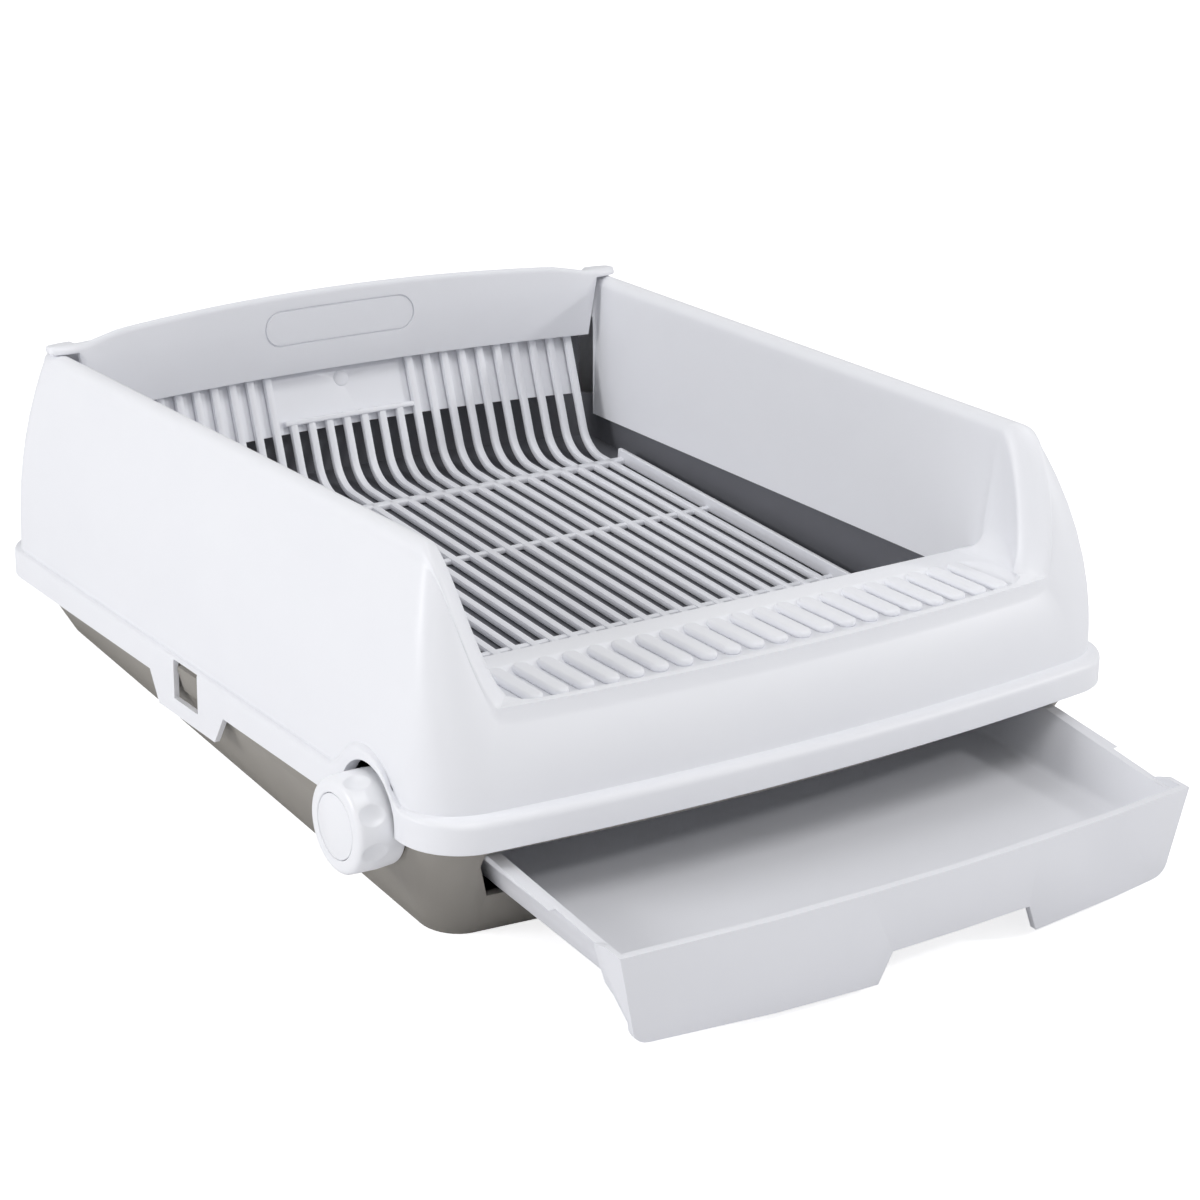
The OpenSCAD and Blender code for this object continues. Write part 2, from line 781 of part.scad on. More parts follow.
// Section through a hook, which lies over the side wall's rolled top and narrows to its end
function hook_section(x) =
    let (
        f = panel_front - bow(handle_w / 2),
        low = wall_h + gap,
        n = 3 * pow((abs(x) - handle_w / 2) / (hook_w - handle_w) * 2, 3)
    )
    [for (p = [
        [0.6 + n, low + 0.2], [0.2 + n, low + 1.2], [0.7 + n, handle_h - 2.2], [2 + n, handle_h - 0.9],
        [5, handle_h - 0.3], [15 - n, handle_h - 0.8], [16 - n, handle_h - 2.4], [15.4 - n, low + 0.6],
        [11 - n / 2, low + 0.1], [7, low + 0.6], [3 + n / 2, low + 0.1]
    ]) [x, f + p[0], p[1]]];

// The panel's lower edge rises to the hook over the lead
function hook_stations(s) =
    let (step = ((hook_w - handle_w) / 2 - hook_lead) / 6)
    [for (k = [0:6]) s * (handle_w / 2 + hook_lead + k * step)];

module handle_panel() {
    color("#ebecf1")
        upper()
            difference() {
                strip_loft([
                    for (k = [6:-1:0]) hook_section(hook_stations(-1)[k]),
                    for (k = [-16:16]) panel_section(k / 16 * handle_w / 2),
                    for (x = hook_stations(1)) hook_section(x)
                ]);
                // moulded outline of the grip
                translate([0, panel_front + 2, panel_mid - 1.2])
                    rotate([90, 90, 0])
                        linear_extrude(height = 4)
                            difference() {
                                capsule(grip_h, grip_l);
                                capsule(grip_h - 2, grip_l - 2);
                            }
                for (s = [-1, 1])
                    translate([s * screw_x, panel_front + 1.2 - bow(screw_x), (rail_low + rail_top) / 2])
                        rotate([-90, 0, 0])
                            cylinder(d = 2.8, h = 20);
            }
}

module handle_screws() {
    color(STEEL)
        upper()
            for (s = [-1, 1])
                translate([s * screw_x, rail_back - bow(screw_x) - head_sink, (rail_low + rail_top) / 2])
                    rotate([-90, 0, 0])
                        screw(2.7, rail_back - head_sink - panel_front - 1.4);
}

// Guard plate close behind the bars
module rear_guard() {
    low = bar_top_z - 39;
    top = bar_top_z - 4;
    color("#e4e5ea")
        difference() {
            strip_loft([for (k = [-12:12])
                let (x = k / 12 * guard_w / 2)
                [for (p = [[low, -0.4], [top, -0.4], [top, -2.9], [low, -2.9]])
                    let (q = slope_pt(p[0], p[1], bow(x)))
                    [x, q[0], q[1]]]]);
            upper()
                translate([comb_window_x, 0, rail_low - 11])
                    rotate([-90, 0, 0])
                        cylinder(d = 4.2, h = body_l);
        }
}

module guard_rivet() {
    h = rail_low - 11;
    y = slope_pt(world_z(rail_back - 7.5, h), -0.4, 0)[0] - 7;
    color("#e9eaef")
        upper()
            translate([comb_window_x, y - 2.2, h])
                rotate([-90, 0, 0]) {
                    cylinder(d = 10, h = 1.4);
                    cylinder(d = 4, h = rail_back - y + 2.2);
                }
}

// ---- gate, shaft and knob ----

module dump_gate() {
    color("#dcdde2")
        difference() {
            union() {
                along_axis(hub_r, -gate_half - 0.5, gate_half + 0.5);
                translate([0, -axis_y, axis_z])
                    rotate([gate_angle, 0, 0])
                        translate([0, 0, -gate_t / 2])
                            linear_extrude(height = gate_t)
                                polygon([
                                    [-gate_half, 0],
                                    [gate_half, 0],
                                    [gate_half, gate_reach - 16],
                                    [gate_half - 12, gate_reach - 3.2],
                                    [gate_half - 60, gate_reach],
                                    [60 - gate_half, gate_reach],
                                    [12 - gate_half, gate_reach - 3.2],
                                    [-gate_half, gate_reach - 16]
                                ]);
            }
            along_axis(shaft_r + 0.05, -gate_half - 1, gate_half + 1);
            gate_pin_holes(0.05);
        }
}

// Cross pins stand square to the gate
module gate_pin_holes(g) {
    for (s = [-1, 1])
        translate([s * pin_x, -axis_y, axis_z])
            rotate([gate_angle, 0, 0])
                cylinder(r = 1.5 + g, h = 2 * hub_r + 2, center = true);
}

module gate_shaft() {
    color(STEEL)
        difference() {
            along_axis(shaft_r, shaft_in, shaft_out);
            along_axis(1.7, shaft_in - 1, shaft_in + 14);
            gate_pin_holes(0.05);
            difference() {
                along_axis(shaft_r + 1, shaft_out - 3.4, shaft_out - 2.2);
                along_axis(shaft_r - 0.8, shaft_out - 4, shaft_out - 2);
            }
        }
}

module gate_pins() {
    color(STEEL)
        for (s = [-1, 1])
            translate([s * pin_x, -axis_y, axis_z])
                rotate([gate_angle, 0, 0])
                    cylinder(r = 1.5, h = 2 * hub_r - 0.6, center = true);
}

module spring_collar() {
    x1 = -ear_x - ear_t - 2 * gap;
    color(STEEL)
        difference() {
            along_axis(shaft_r + 2.8, x1 - 4, x1);
            along_axis(shaft_r + 0.05, x1 - 5, x1 + 1);
        }
}

// Ring k of the spring's wire, turning as it goes along the axis
function coil_ring(k, x0, pitch, r, wire) =
    let (w = k * 360 / 16)
    [for (j = [0:7])
        let (v = j * 45, q = r + wire / 2 * cos(v))
        [x0 + k * pitch / 16 + wire / 2 * sin(v), -axis_y + q * cos(w), axis_z + q * sin(w)]];

module gate_spring() {
    wire = 1.4;
    turns = 5;
    x0 = -seat_x + wire / 2 + gap;
    x1 = -ear_x - ear_t - 2 * gap - 4 - wire / 2 - gap;
    color(STEEL)
        strip_loft([for (k = [0:turns * 16]) coil_ring(k, x0, (x1 - x0) / turns, shaft_r + 1.6, wire)]);
}

module shaft_clip() {
    color(STEEL)
        difference() {
            along_axis(shaft_r + 2.6, shaft_out - 3.3, shaft_out - 2.3);
            along_axis(shaft_r - 0.7, shaft_out - 4, shaft_out - 2);
        }
}

module knob() {
    color("#eeeff4")
        difference() {
            union() {
                difference() {
                    translate([knob_face, -axis_y, axis_z])
                        rotate([0, 90, 0])
                            rotate_extrude($fn = 96)
                                polygon([
                                    [0, 0],
                                    [knob_r - 4.2, 0],
                                    [knob_r - 2.8, 0.5],
                                    [knob_r - 1.6, 1.6],
                                    [knob_r - 0.9, 3.2],
                                    [knob_r, knob_l * 0.35],
                                    [knob_r - 1, knob_l - 1],
                                    [knob_r - 1.6, knob_l],
                                    [0, knob_l]
                                ]);
                    // hollows for the fingers
                    for (k = [0:dimple_count - 1])
                        translate([knob_face + 8, -axis_y, axis_z])
                            rotate([k * 360 / dimple_count + 12, 0, 0])
                                translate([0, knob_r + dimple_r - 2.4, 0])
                                    sphere(r = dimple_r);
                }
                along_axis(stem_r, knob_rim - 1, stem_end);
            }
            along_axis(shaft_r + 0.05, shaft_in - 0.3, stem_end + 1);
            along_axis(2.2, knob_face, shaft_in);
            along_axis(5, knob_face - 1, knob_face + 5.5);
            along_axis(cap_d / 2, knob_face - 1, knob_face + 2.2);
        }
}

module knob_cap() {
    color("#eeeff4")
        along_axis(cap_d / 2 - gap, knob_face + 0.3, knob_face + 2.1);
}

module knob_screw() {
    color(STEEL)
        translate([knob_face + 5.5, -axis_y, axis_z])
            rotate([0, -90, 0])
                screw(3.2, 14);
}

// ---- bearings ----

// Split at the axis: the bush lies half in the base's seat and half in the cap
module bush(s) {
    x0 = s > 0 ? seat_x : -seat_x - seat_w;
    x1 = s > 0 ? seat_x + seat_w : -seat_x - seat_w - flange_t - 0.1;
    color("#d9d4c4")
        difference() {
            union() {
                along_axis(bush_r - 0.05, x0, x0 + seat_w);
                along_axis(bush_r + 2, x1, x1 + flange_t + 0.1);
            }
            along_axis(shaft_r + run / 2, x0 - 5, x0 + seat_w + 5);
        }
}

module bearing_cap(s) {
    x0 = s > 0 ? seat_x : -seat_x - seat_w;
    color("#7d7a76")
        difference() {
            translate([x0, -axis_y - seat_l / 2, axis_z + gap / 2])
                cube([seat_w, seat_l, bush_r + 3]);
            along_axis(bush_r, x0 - 1, x0 + seat_w + 1);
            bearing_screw_holes(s);
        }
}

module bearing_screws() {
    color(STEEL)
        for (s = [-1, 1], dy = [-cap_screw_y, cap_screw_y])
            translate([s * (seat_x + seat_w / 2), -axis_y + dy, axis_z + gap / 2 + bush_r + 3])
                screw(2.9, cap_screw_l);
}

// ---- drawer ----

// Outline of the front panel seen from the front: bottom edge arched, ends rounded, finger notch
module panel_outline() {
    low_half = panel_half - panel_lean;
    round_r = 9;
    arch = 5;
    end_z = panel_bottom + arch - 0.4 + round_r;
    difference() {
        polygon([
            for (k = [0:16])
                let (x = (k / 8 - 1) * (low_half - round_r))
                [x, panel_bottom + arch * pow(x / low_half, 2)],
            for (w = [-90:15:0])
                [low_half - round_r + round_r * cos(w), end_z + round_r * sin(w)],
            [panel_half, panel_top],
            [-panel_half, panel_top],
            for (w = [180:15:270])
                [-low_half + round_r + round_r * cos(w), end_z + round_r * sin(w)]
        ]);
        polygon([
            [notch_x - notch_w / 2 - notch_flare, -1],
            [notch_x + notch_w / 2 + notch_flare, -1],
            [notch_x + notch_w / 2, panel_bottom + notch_h],
            [notch_x - notch_w / 2, panel_bottom + notch_h]
        ]);
    }
}

// Panel's outline drawn out backwards from in front of its face
module panel_block(l) {
    translate([0, panel_y + l, 0])
        rotate([90, 0, 0])
            linear_extrude(height = l + 20)
                children();
}

// Return behind one end of the panel, deep at the top and running out at the lower corner
module panel_return(s) {
    end = panel_y + 7.5 + return_l;
    intersection() {
        panel_block(60)
            difference() {
                panel_outline();
                translate([-s * wall, 0])
                    panel_outline();
                translate([s > 0 ? -body_w : 40 - panel_half, -1])
                    square([body_w + panel_half - 40, panel_top + 2]);
            }
        across(-body_w / 2, body_w / 2)
            polygon([
                [panel_y, 0],
                [panel_y + 10.5, 18],
                [end - 10, 29],
                [end - 4, 33],
                [end, drawer_top - 7],
                [end, drawer_top - 5],
                [end - 7, panel_top - 0.6],
                [end - 9, panel_top],
                [panel_y, panel_top]
            ]);
    }
}

// Rounded corner between the drawer's floor and its leaning side
function round_corner(x, z, r, lean) =
    [for (k = [0:5]) let (w = -90 + lean * k / 5) [x - r * tan(lean / 2) + r * cos(w), z + r + r * sin(w)]];

// Right half of a drawer section, mirrored to a closed one
module both_sides(right) {
    polygon(concat(right, [for (k = [len(right) - 1:-1:0]) [-right[k][0], right[k][1]]]));
}

module drawer_outer(lip) {
    side = drawer_half - lip_w + wall;
    half = drawer_half - drawer_lean;
    both_sides(concat(
        round_corner(half, drawer_z, drawer_round, atan((drawer_h - wall) / (side - half))),
        [[side, drawer_top - wall]],
        lip ? [[drawer_half, drawer_top - wall], [drawer_half, drawer_top]] : [[side, drawer_top]]
    ));
}

module drawer_inner() {
    inner = drawer_half - lip_w;
    half = drawer_half - drawer_lean - wall + 0.6;
    both_sides(concat(
        round_corner(half, drawer_z + wall, drawer_round - wall, atan((drawer_h + 1 - wall) / (inner - half))),
        [[inner, drawer_top + 1]]
    ));
}

module drawer() {
    color(GREY)
        difference() {
            union() {
                difference() {
                    union() {
                        // floor, sides and lips
                        translate([0, drawer_y1, 0])
                            rotate([90, 0, 0])
                                linear_extrude(height = drawer_l)
                                    difference() {
                                        drawer_outer(true);
                                        drawer_inner();
                                    }
                        // rear wall
                        translate([0, drawer_y1, 0])
                            rotate([90, 0, 0])
                                linear_extrude(height = wall)
                                    drawer_outer(false);
                    }
                    // dip of the sides behind the panel
                    across(-body_w / 2, body_w / 2)
                        polygon([
                            [panel_y - 5, drawer_top - 5],
                            [panel_y + 30, drawer_top - 5],
                            [panel_y + 107, drawer_top + eps],
                            [panel_y + 107, drawer_top + 10],
                            [panel_y - 5, drawer_top + 10]
                        ]);
                }
                // bowed front panel
                intersection() {
                    panel_block(60)
                        panel_outline();
                    translate([0, panel_y + panel_r, 0])
                        difference() {
                            cylinder(r = panel_r, h = 80, $fn = 720);
                            translate([0, 0, -1])
                                cylinder(r = panel_r - 4, h = 82, $fn = 720);
                        }
                }
                for (s = [-1, 1])
                    panel_return(s);
            }
            // everything in front of the panel's face
            difference() {
                translate([-body_w / 2, panel_y - 5, 0])
                    cube([body_w, 40, 80]);
                translate([0, panel_y + panel_r, -1])
                    cylinder(r = panel_r, h = 82, $fn = 720);
            }
        }
}

base_pan();
rubber_feet();
litter_tray();
shroud();
sifting_comb();
handle_panel();
handle_screws();
rear_guard();
guard_rivet();
dump_gate();
gate_shaft();
gate_pins();
spring_collar();
gate_spring();
shaft_clip();
knob();
knob_cap();
knob_screw();
bush(-1);  // left_bush
bush(1);  // right_bush
bearing_cap(-1);  // left_bearing_cap
bearing_cap(1);  // right_bearing_cap
bearing_screws();
drawer();
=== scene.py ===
"""Drawer litter box: the finish of every piece, the rounded mouldings, the studio and the camera."""

import bmesh
import bpy
import json
import math
from mathutils import Matrix, Vector

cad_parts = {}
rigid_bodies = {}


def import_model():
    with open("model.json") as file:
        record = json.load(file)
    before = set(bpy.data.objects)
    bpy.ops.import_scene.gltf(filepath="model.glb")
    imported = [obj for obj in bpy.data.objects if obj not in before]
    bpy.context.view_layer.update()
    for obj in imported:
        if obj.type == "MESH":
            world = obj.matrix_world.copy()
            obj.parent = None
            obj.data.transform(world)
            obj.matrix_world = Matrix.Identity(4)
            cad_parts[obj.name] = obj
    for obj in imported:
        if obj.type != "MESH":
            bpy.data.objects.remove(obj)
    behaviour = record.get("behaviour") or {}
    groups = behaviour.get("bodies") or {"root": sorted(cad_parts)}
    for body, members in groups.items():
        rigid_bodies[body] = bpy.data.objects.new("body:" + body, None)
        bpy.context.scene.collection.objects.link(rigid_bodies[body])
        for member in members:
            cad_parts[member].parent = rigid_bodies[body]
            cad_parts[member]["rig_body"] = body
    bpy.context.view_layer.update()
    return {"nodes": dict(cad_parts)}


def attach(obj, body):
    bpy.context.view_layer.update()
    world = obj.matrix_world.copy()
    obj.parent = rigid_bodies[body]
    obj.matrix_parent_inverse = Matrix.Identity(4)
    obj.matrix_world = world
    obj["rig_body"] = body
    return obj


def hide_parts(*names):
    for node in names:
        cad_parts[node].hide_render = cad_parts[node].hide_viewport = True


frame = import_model()
MM = 0.001

# ---- sizes of the mouldings, in millimetres ----

# The upper body, drawn level about its skirt's lower edge: outline, walls and tilt
BODY_W, BODY_L = 430, 520
BOW_FRONT, BOW_REAR = 10, 16
CORNER_R = 32
WALL = 3
RIM_Z, RIM_TILT = 50, math.radians(4)
SKIRT_H, BEAD_IN, SIDE_BEAD_IN = 16, 7, 3.5
WALL_H, STEP_H = 134, 62
CREST_R, CREST_IN = 6.5, 29
SKIN_H, REAR_LIP_H = 44, 108
FILLET = 14
# The entry tread: its rear edge, its ribs and the shallow pan round them
TREAD_BACK = -170
RIB_COUNT, RIB_PITCH, RIB_W, RIB_L, RIB_H = 21, 14.5, 9.6, 42, 3.6
RIB_BODY_H = 4.2
PAN_HALF, PAN_FRONT, PAN_REAR, PAN_R, PAN_BOW = 158, -235, -189, 12, 8
PAN_EDGE = ((4, -1), (3, 0.02), (2, 0.25), (1, 0.9), (0, 1.8), (-1, 2.5), (-2.2, 2.9), (-3.6, RIB_H))
# The clip tabs and their windows
TAB_W, TAB_H, TAB_FLARE = 64, 16, 10
WINDOW_W, WINDOW_H, WINDOW_MID = 27, 22, 4
# The knob's axis, which the comb and the gate share, and the skirt's arch and brow over the knob
AXIS_Y, AXIS_Z = -187.5, 64
KNOB_RIM, KNOB_L = -207, 25.5
STEM_R = 9
ARCH_R, ARCH_UP, ARCH_DEEP = 25.2, 3.5, 10.5
BROW_R, BROW_BACK, BROW_UP = 30, 3.5, 3.5
# The comb: its floor, its bars, and the bend and slope at its rear
COMB_HALF, COMB_FRONT, COMB_END = 173, -173.8, 150
BAR_COUNT, BAR_PITCH, BAR_W, BAR_T = 27, 12.4, 5.2, 4
BAR_Z, BAR_TOP, FOOT_Y = 62.9, 137, 193.5
SLOPE, BEND_R = math.radians(66), 26
WINDOW_X, OPENING_W, OPENING_Z = 2.5, 87, 106
RAIL_FRONT, RAIL_BACK, RAIL_LOW, RAIL_TOP = 213.9, 223.5, 100.3, 105
SIDE_RAIL_W, SIDE_RAIL_H = 3, 9
BOSS_Z, BOSS_R = 124, 5
# The handle panel, which bows with the rear wall, its grip and its hooks
COMB_BOW, HANDLE_W, HOOK_W = 15, 346, 390
PANEL_FRONT, PANEL_LOW, PANEL_MID = 210, 98, 128
HANDLE_H, HANDLE_ARCH = 139.5, 5.5
GRIP_L, GRIP_H = 104, 22


# ---- small helpers ----

def deselect():
    """Lets go of every piece, for an operator acts on all that is selected."""
    for o in bpy.context.view_layer.objects:
        o.select_set(False)


def pick(obj):
    """Selects one piece alone and makes it the active one."""
    deselect()
    obj.select_set(True)
    bpy.context.view_layer.objects.active = obj


def modify(obj, kind, **settings):
    """Adds a modifier with its settings and applies it."""
    pick(obj)
    modifier = obj.modifiers.new(kind.lower(), kind)
    for name, value in settings.items():
        setattr(modifier, name, value)
    bpy.ops.object.modifier_apply(modifier=modifier.name)


def cut_away(obj, tool, careful=False):
    """Cuts a tool's shape out of a piece; careful where the piece's own skins touch each other."""
    modify(obj, "BOOLEAN", operation="DIFFERENCE", solver="EXACT", use_self=careful, object=tool)
    bpy.data.objects.remove(tool)


def smooth(obj, degrees=30):
    """Shades faces smooth where they meet at less than an angle."""
    pick(obj)
    bpy.ops.object.shade_smooth_by_angle(angle=math.radians(degrees))


def settle(obj):
    """Puts the object's place, turn and scale into its mesh."""
    pick(obj)
    bpy.ops.object.transform_apply(location=True, rotation=True, scale=True)


def upright(obj):
    """Tips a piece drawn level, in millimetres, nose-up onto the base, in metres."""
    tip = Matrix.Translation((0, 0, RIM_Z)) @ Matrix.Rotation(-RIM_TILT, 4, "X")
    obj.data.transform(Matrix.Scale(MM, 4) @ tip)


def dressed(name, edge=0.6, segments=2, angle=30, shade=30):
    """A CAD node's shape with its edges rounded, which stands for the node."""
    node = frame["nodes"][name]
    piece = bpy.data.objects.new(name + "_moulded", node.data.copy())
    bpy.context.scene.collection.objects.link(piece)
    pick(piece)
    bpy.ops.object.mode_set(mode="EDIT")
    bpy.ops.mesh.select_all(action="SELECT")
    bpy.ops.mesh.remove_doubles(threshold=0.00001)
    bpy.ops.mesh.dissolve_limited(angle_limit=math.radians(1.5))
    bpy.ops.object.mode_set(mode="OBJECT")
    modify(piece, "BEVEL", width=edge * MM, segments=segments, limit_method="ANGLE",
           angle_limit=math.radians(angle), harden_normals=False, miter_outer="MITER_ARC",
           loop_slide=True, use_clamp_overlap=True)
    smooth(piece, shade)
    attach(piece, node["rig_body"])
    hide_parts(name)
    return piece


# ---- finishes ----

def tone(hex_value):
    """sRGB hex value as linear colour."""
    parts = [int(hex_value[k:k + 2], 16) / 255 for k in (1, 3, 5)]
    return [c / 12.92 if c <= 0.04045 else ((c + 0.055) / 1.055) ** 2.4 for c in parts] + [1]


def add(tree, kind, links=None, **settings):
    """Adds a shader node, sets its properties and sockets, and links its sockets to others."""
    node = tree.nodes.new(kind)
    for name, value in settings.items():
        if name in node.bl_rna.properties:
            setattr(node, name, value)
        else:
            node.inputs[name.replace("_", " ")].default_value = value
    for name, source in (links or {}).items():
        tree.links.new(source, node.inputs[name])
    return node


def finish(name):
    """A new material with an empty node tree."""
    material = bpy.data.materials.new(name)
    material.use_nodes = True
    material.node_tree.nodes.clear()
    return material, material.node_tree


def moulded_plastic(name, pale, deep, roughness, grain_mm, grain_depth, ior=1.49):
    """Injection-moulded plastic: a faint drift in tone from the melt, and the mould's fine spark texture."""
    material, tree = finish(name)
    place = add(tree, "ShaderNodeTexCoord")
    flow = add(tree, "ShaderNodeTexNoise", {"Vector": place.outputs["Object"]},
               Scale=1 / (60 * MM), Detail=3, Roughness=0.5)
    shade = add(tree, "ShaderNodeMix", {"Factor": flow.outputs["Fac"]}, data_type="RGBA")
    shade.inputs[6].default_value = tone(deep)
    shade.inputs[7].default_value = tone(pale)
    handled = add(tree, "ShaderNodeTexNoise", {"Vector": place.outputs["Object"]},
                  Scale=1 / (22 * MM), Detail=4, Roughness=0.6)
    polish = add(tree, "ShaderNodeMapRange", {"Value": handled.outputs["Fac"]})
    polish.inputs["To Min"].default_value = roughness - 0.05
    polish.inputs["To Max"].default_value = roughness + 0.05
    grain = add(tree, "ShaderNodeTexNoise", {"Vector": place.outputs["Object"]},
                Scale=1 / (grain_mm * MM), Detail=2, Roughness=0.6)
    relief = add(tree, "ShaderNodeBump", {"Height": grain.outputs["Fac"]},
                 Strength=0.35, Distance=grain_depth * MM)
    skin = add(tree, "ShaderNodeBsdfPrincipled", {
        "Base Color": shade.outputs[2], "Roughness": polish.outputs["Result"],
        "Normal": relief.outputs["Normal"]}, IOR=ior)
    add(tree, "ShaderNodeOutputMaterial", {"Surface": skin.outputs["BSDF"]})
    return material


def turned_steel(name, pale, deep, roughness):
    """Bright steel wire and rod: fine turned lines round the axis, with pale and deep bands in the colour that
    are painted highlight streaks; the bump gives the lines their real relief.
    """
    material, tree = finish(name)
    place = add(tree, "ShaderNodeTexCoord")
    lines_and_painted_streaks = add(tree, "ShaderNodeTexWave", {"Vector": place.outputs["Object"]},
                bands_direction="X", Scale=1 / (1.2 * MM), Distortion=1.5, Detail=3)
    # Pale and deep bands along the turned lines: painted highlight streaks
    shade = add(tree, "ShaderNodeMix", {"Factor": lines_and_painted_streaks.outputs["Fac"]}, data_type="RGBA")
    shade.inputs[6].default_value = tone(deep)
    shade.inputs[7].default_value = tone(pale)
    relief = add(tree, "ShaderNodeBump", {"Height": lines_and_painted_streaks.outputs["Fac"]},
                 Strength=0.15, Distance=0.02 * MM)
    skin = add(tree, "ShaderNodeBsdfPrincipled", {
        "Base Color": shade.outputs[2], "Normal": relief.outputs["Normal"]}, Metallic=1.0, Roughness=roughness)
    add(tree, "ShaderNodeOutputMaterial", {"Surface": skin.outputs["BSDF"]})
    return material


# White polypropylene of the upper body: satin, with a soft wide highlight
WHITE_PP = moulded_plastic("satin_white_polypropylene", "#F3F4F8", "#EFF0F5", 0.42, 0.9, 0.03)
# The comb's and panel's polypropylene: a shade brighter, which is painted light for the more brightly lit panel
COMB_PP_PAINTED_LIGHT = moulded_plastic("comb_white_polypropylene_painted_light", "#F1F2F7", "#ECEDF2", 0.4, 0.9, 0.03)
# The drawer's polypropylene: slightly greyer and more matt inside
DRAWER_PP = moulded_plastic("drawer_pale_grey_polypropylene", "#E9EAEF", "#E4E5EA", 0.44, 0.9, 0.03)
# The knob's ABS: smoother, with a tighter highlight
KNOB_ABS = moulded_plastic("knob_white_abs", "#F5F6FA", "#F1F2F6", 0.3, 1.4, 0.02, 1.53)
# The base's taupe polypropylene: matt, with a coarser mould texture
TAUPE_PP = moulded_plastic("matt_taupe_polypropylene", "#9A968F", "#928E88", 0.52, 1.1, 0.05)
# The tray's polypropylene: its dark charcoal tone is painted shade, darkened to match the shaded interior behind
# the comb's bars
TRAY_PP_PAINTED_SHADE = moulded_plastic("matt_tray_polypropylene_painted_shade", "#6F7076", "#64656B", 0.5, 1.0, 0.05)
# The bushes' natural acetal: waxy
BUSH_POM = moulded_plastic("natural_acetal", "#DDD8C9", "#D2CCBB", 0.33, 1.2, 0.02, 1.48)
# The pads' rubber: dark and dull
FOOT_RUBBER = moulded_plastic("moulded_rubber_pads", "#4C4C4E", "#434345", 0.78, 0.8, 0.08, 1.52)
STEEL = turned_steel("bright_zinc_plated_steel", "#D4D6DA", "#B4B7BC", 0.28)


# ---- the upper body's double wall ----

def ease(u):
    """A smooth step from 0 at 0 to 1 at 1."""
    c = min(1.0, max(0.0, u))
    return c * c * (3 - 2 * c)


def mix(a, b, k):
    """Between a and b, by the share k."""
    return a + (b - a) * k


class Station:
    """A place along the rounded outline: one of eight stretches, and how far along it."""

    def __init__(self, stretch, f):
        self.stretch, self.f = stretch, f

    def outline(self, a, front, rear, r, q):
        """Point of an outline of half width a, with bowed ends and corner radii r in front and q behind."""
        tf = math.atan(2 * BOW_FRONT / (a - r))
        tb = math.atan(2 * BOW_REAR / (a - q))
        cf = -front + BOW_FRONT + r * math.cos(tf)
        cb = rear - BOW_REAR - q * math.cos(tb)
        quarter = math.pi / 2
        side = 1 if self.stretch in (1, 2, 3) else -1
        if self.stretch == 0:
            t = 2 * self.f - 1
            return t * (a - r + r * math.sin(tf)), -front + BOW_FRONT * t * t
        if self.stretch == 4:
            t = 1 - 2 * self.f
            return t * (a - q + q * math.sin(tb)), rear - BOW_REAR * t * t
        g = self.f if side > 0 else 1 - self.f
        if self.stretch in (1, 7):
            w = mix(tf, quarter, g)
            return side * (a - r + r * math.sin(w)), cf - r * math.cos(w)
        if self.stretch in (3, 5):
            w = mix(quarter, math.pi - tb, g)
            return side * (a - q + q * math.sin(w)), cb - q * math.cos(w)
        return side * a, mix(cf, cb, g)

    def rim(self, d):
        """The upper body's outline set in by d."""
        return self.outline(BODY_W / 2 - d, BODY_L / 2 - d, BODY_L / 2 - d, CORNER_R, CORNER_R - 0.6 * d)

    def rise(self):
        """0 along the entry step, 1 along the side and rear walls."""
        if self.stretch == 0:
            return ease((abs(2 * self.f - 1) - 0.9) * 0.9)
        if self.stretch in (1, 7):
            g = self.f if self.stretch == 1 else 1 - self.f
            return ease((g + 0.1) / 1.02)
        return 1.0

    def behind(self):
        """1 round the rear wall, falling to 0 just inside the rear corners."""
        if self.stretch == 4:
            return 1.0
        if self.stretch in (3, 5):
            g = self.f if self.stretch == 3 else 1 - self.f
            return min(1.0, g * 9)
        return 0.0


def level_place(y, z):
    """A world place in the upper body's level frame."""
    return (y * math.cos(RIM_TILT) - (z - RIM_Z) * math.sin(RIM_TILT),
            (z - RIM_Z) * math.cos(RIM_TILT) + y * math.sin(RIM_TILT))


BROW_Y, BROW_H = level_place(AXIS_Y + BROW_BACK, AXIS_Z + BROW_UP)


def bead_height(station):
    """Top of the skirt's bead, which climbs over the knob like an eyebrow on the left side."""
    x, y = station.rim(0)
    if station.stretch not in (6, 7):
        return SKIRT_H
    climb = 0.0
    for shift in range(-6, 7, 2):
        off = y + shift - BROW_Y
        arch = BROW_H - SKIRT_H + math.sqrt(max(0.0, BROW_R ** 2 - off ** 2))
        climb += max(0.0, arch if abs(off) < BROW_R else 0.0) / 7
    return SKIRT_H + climb


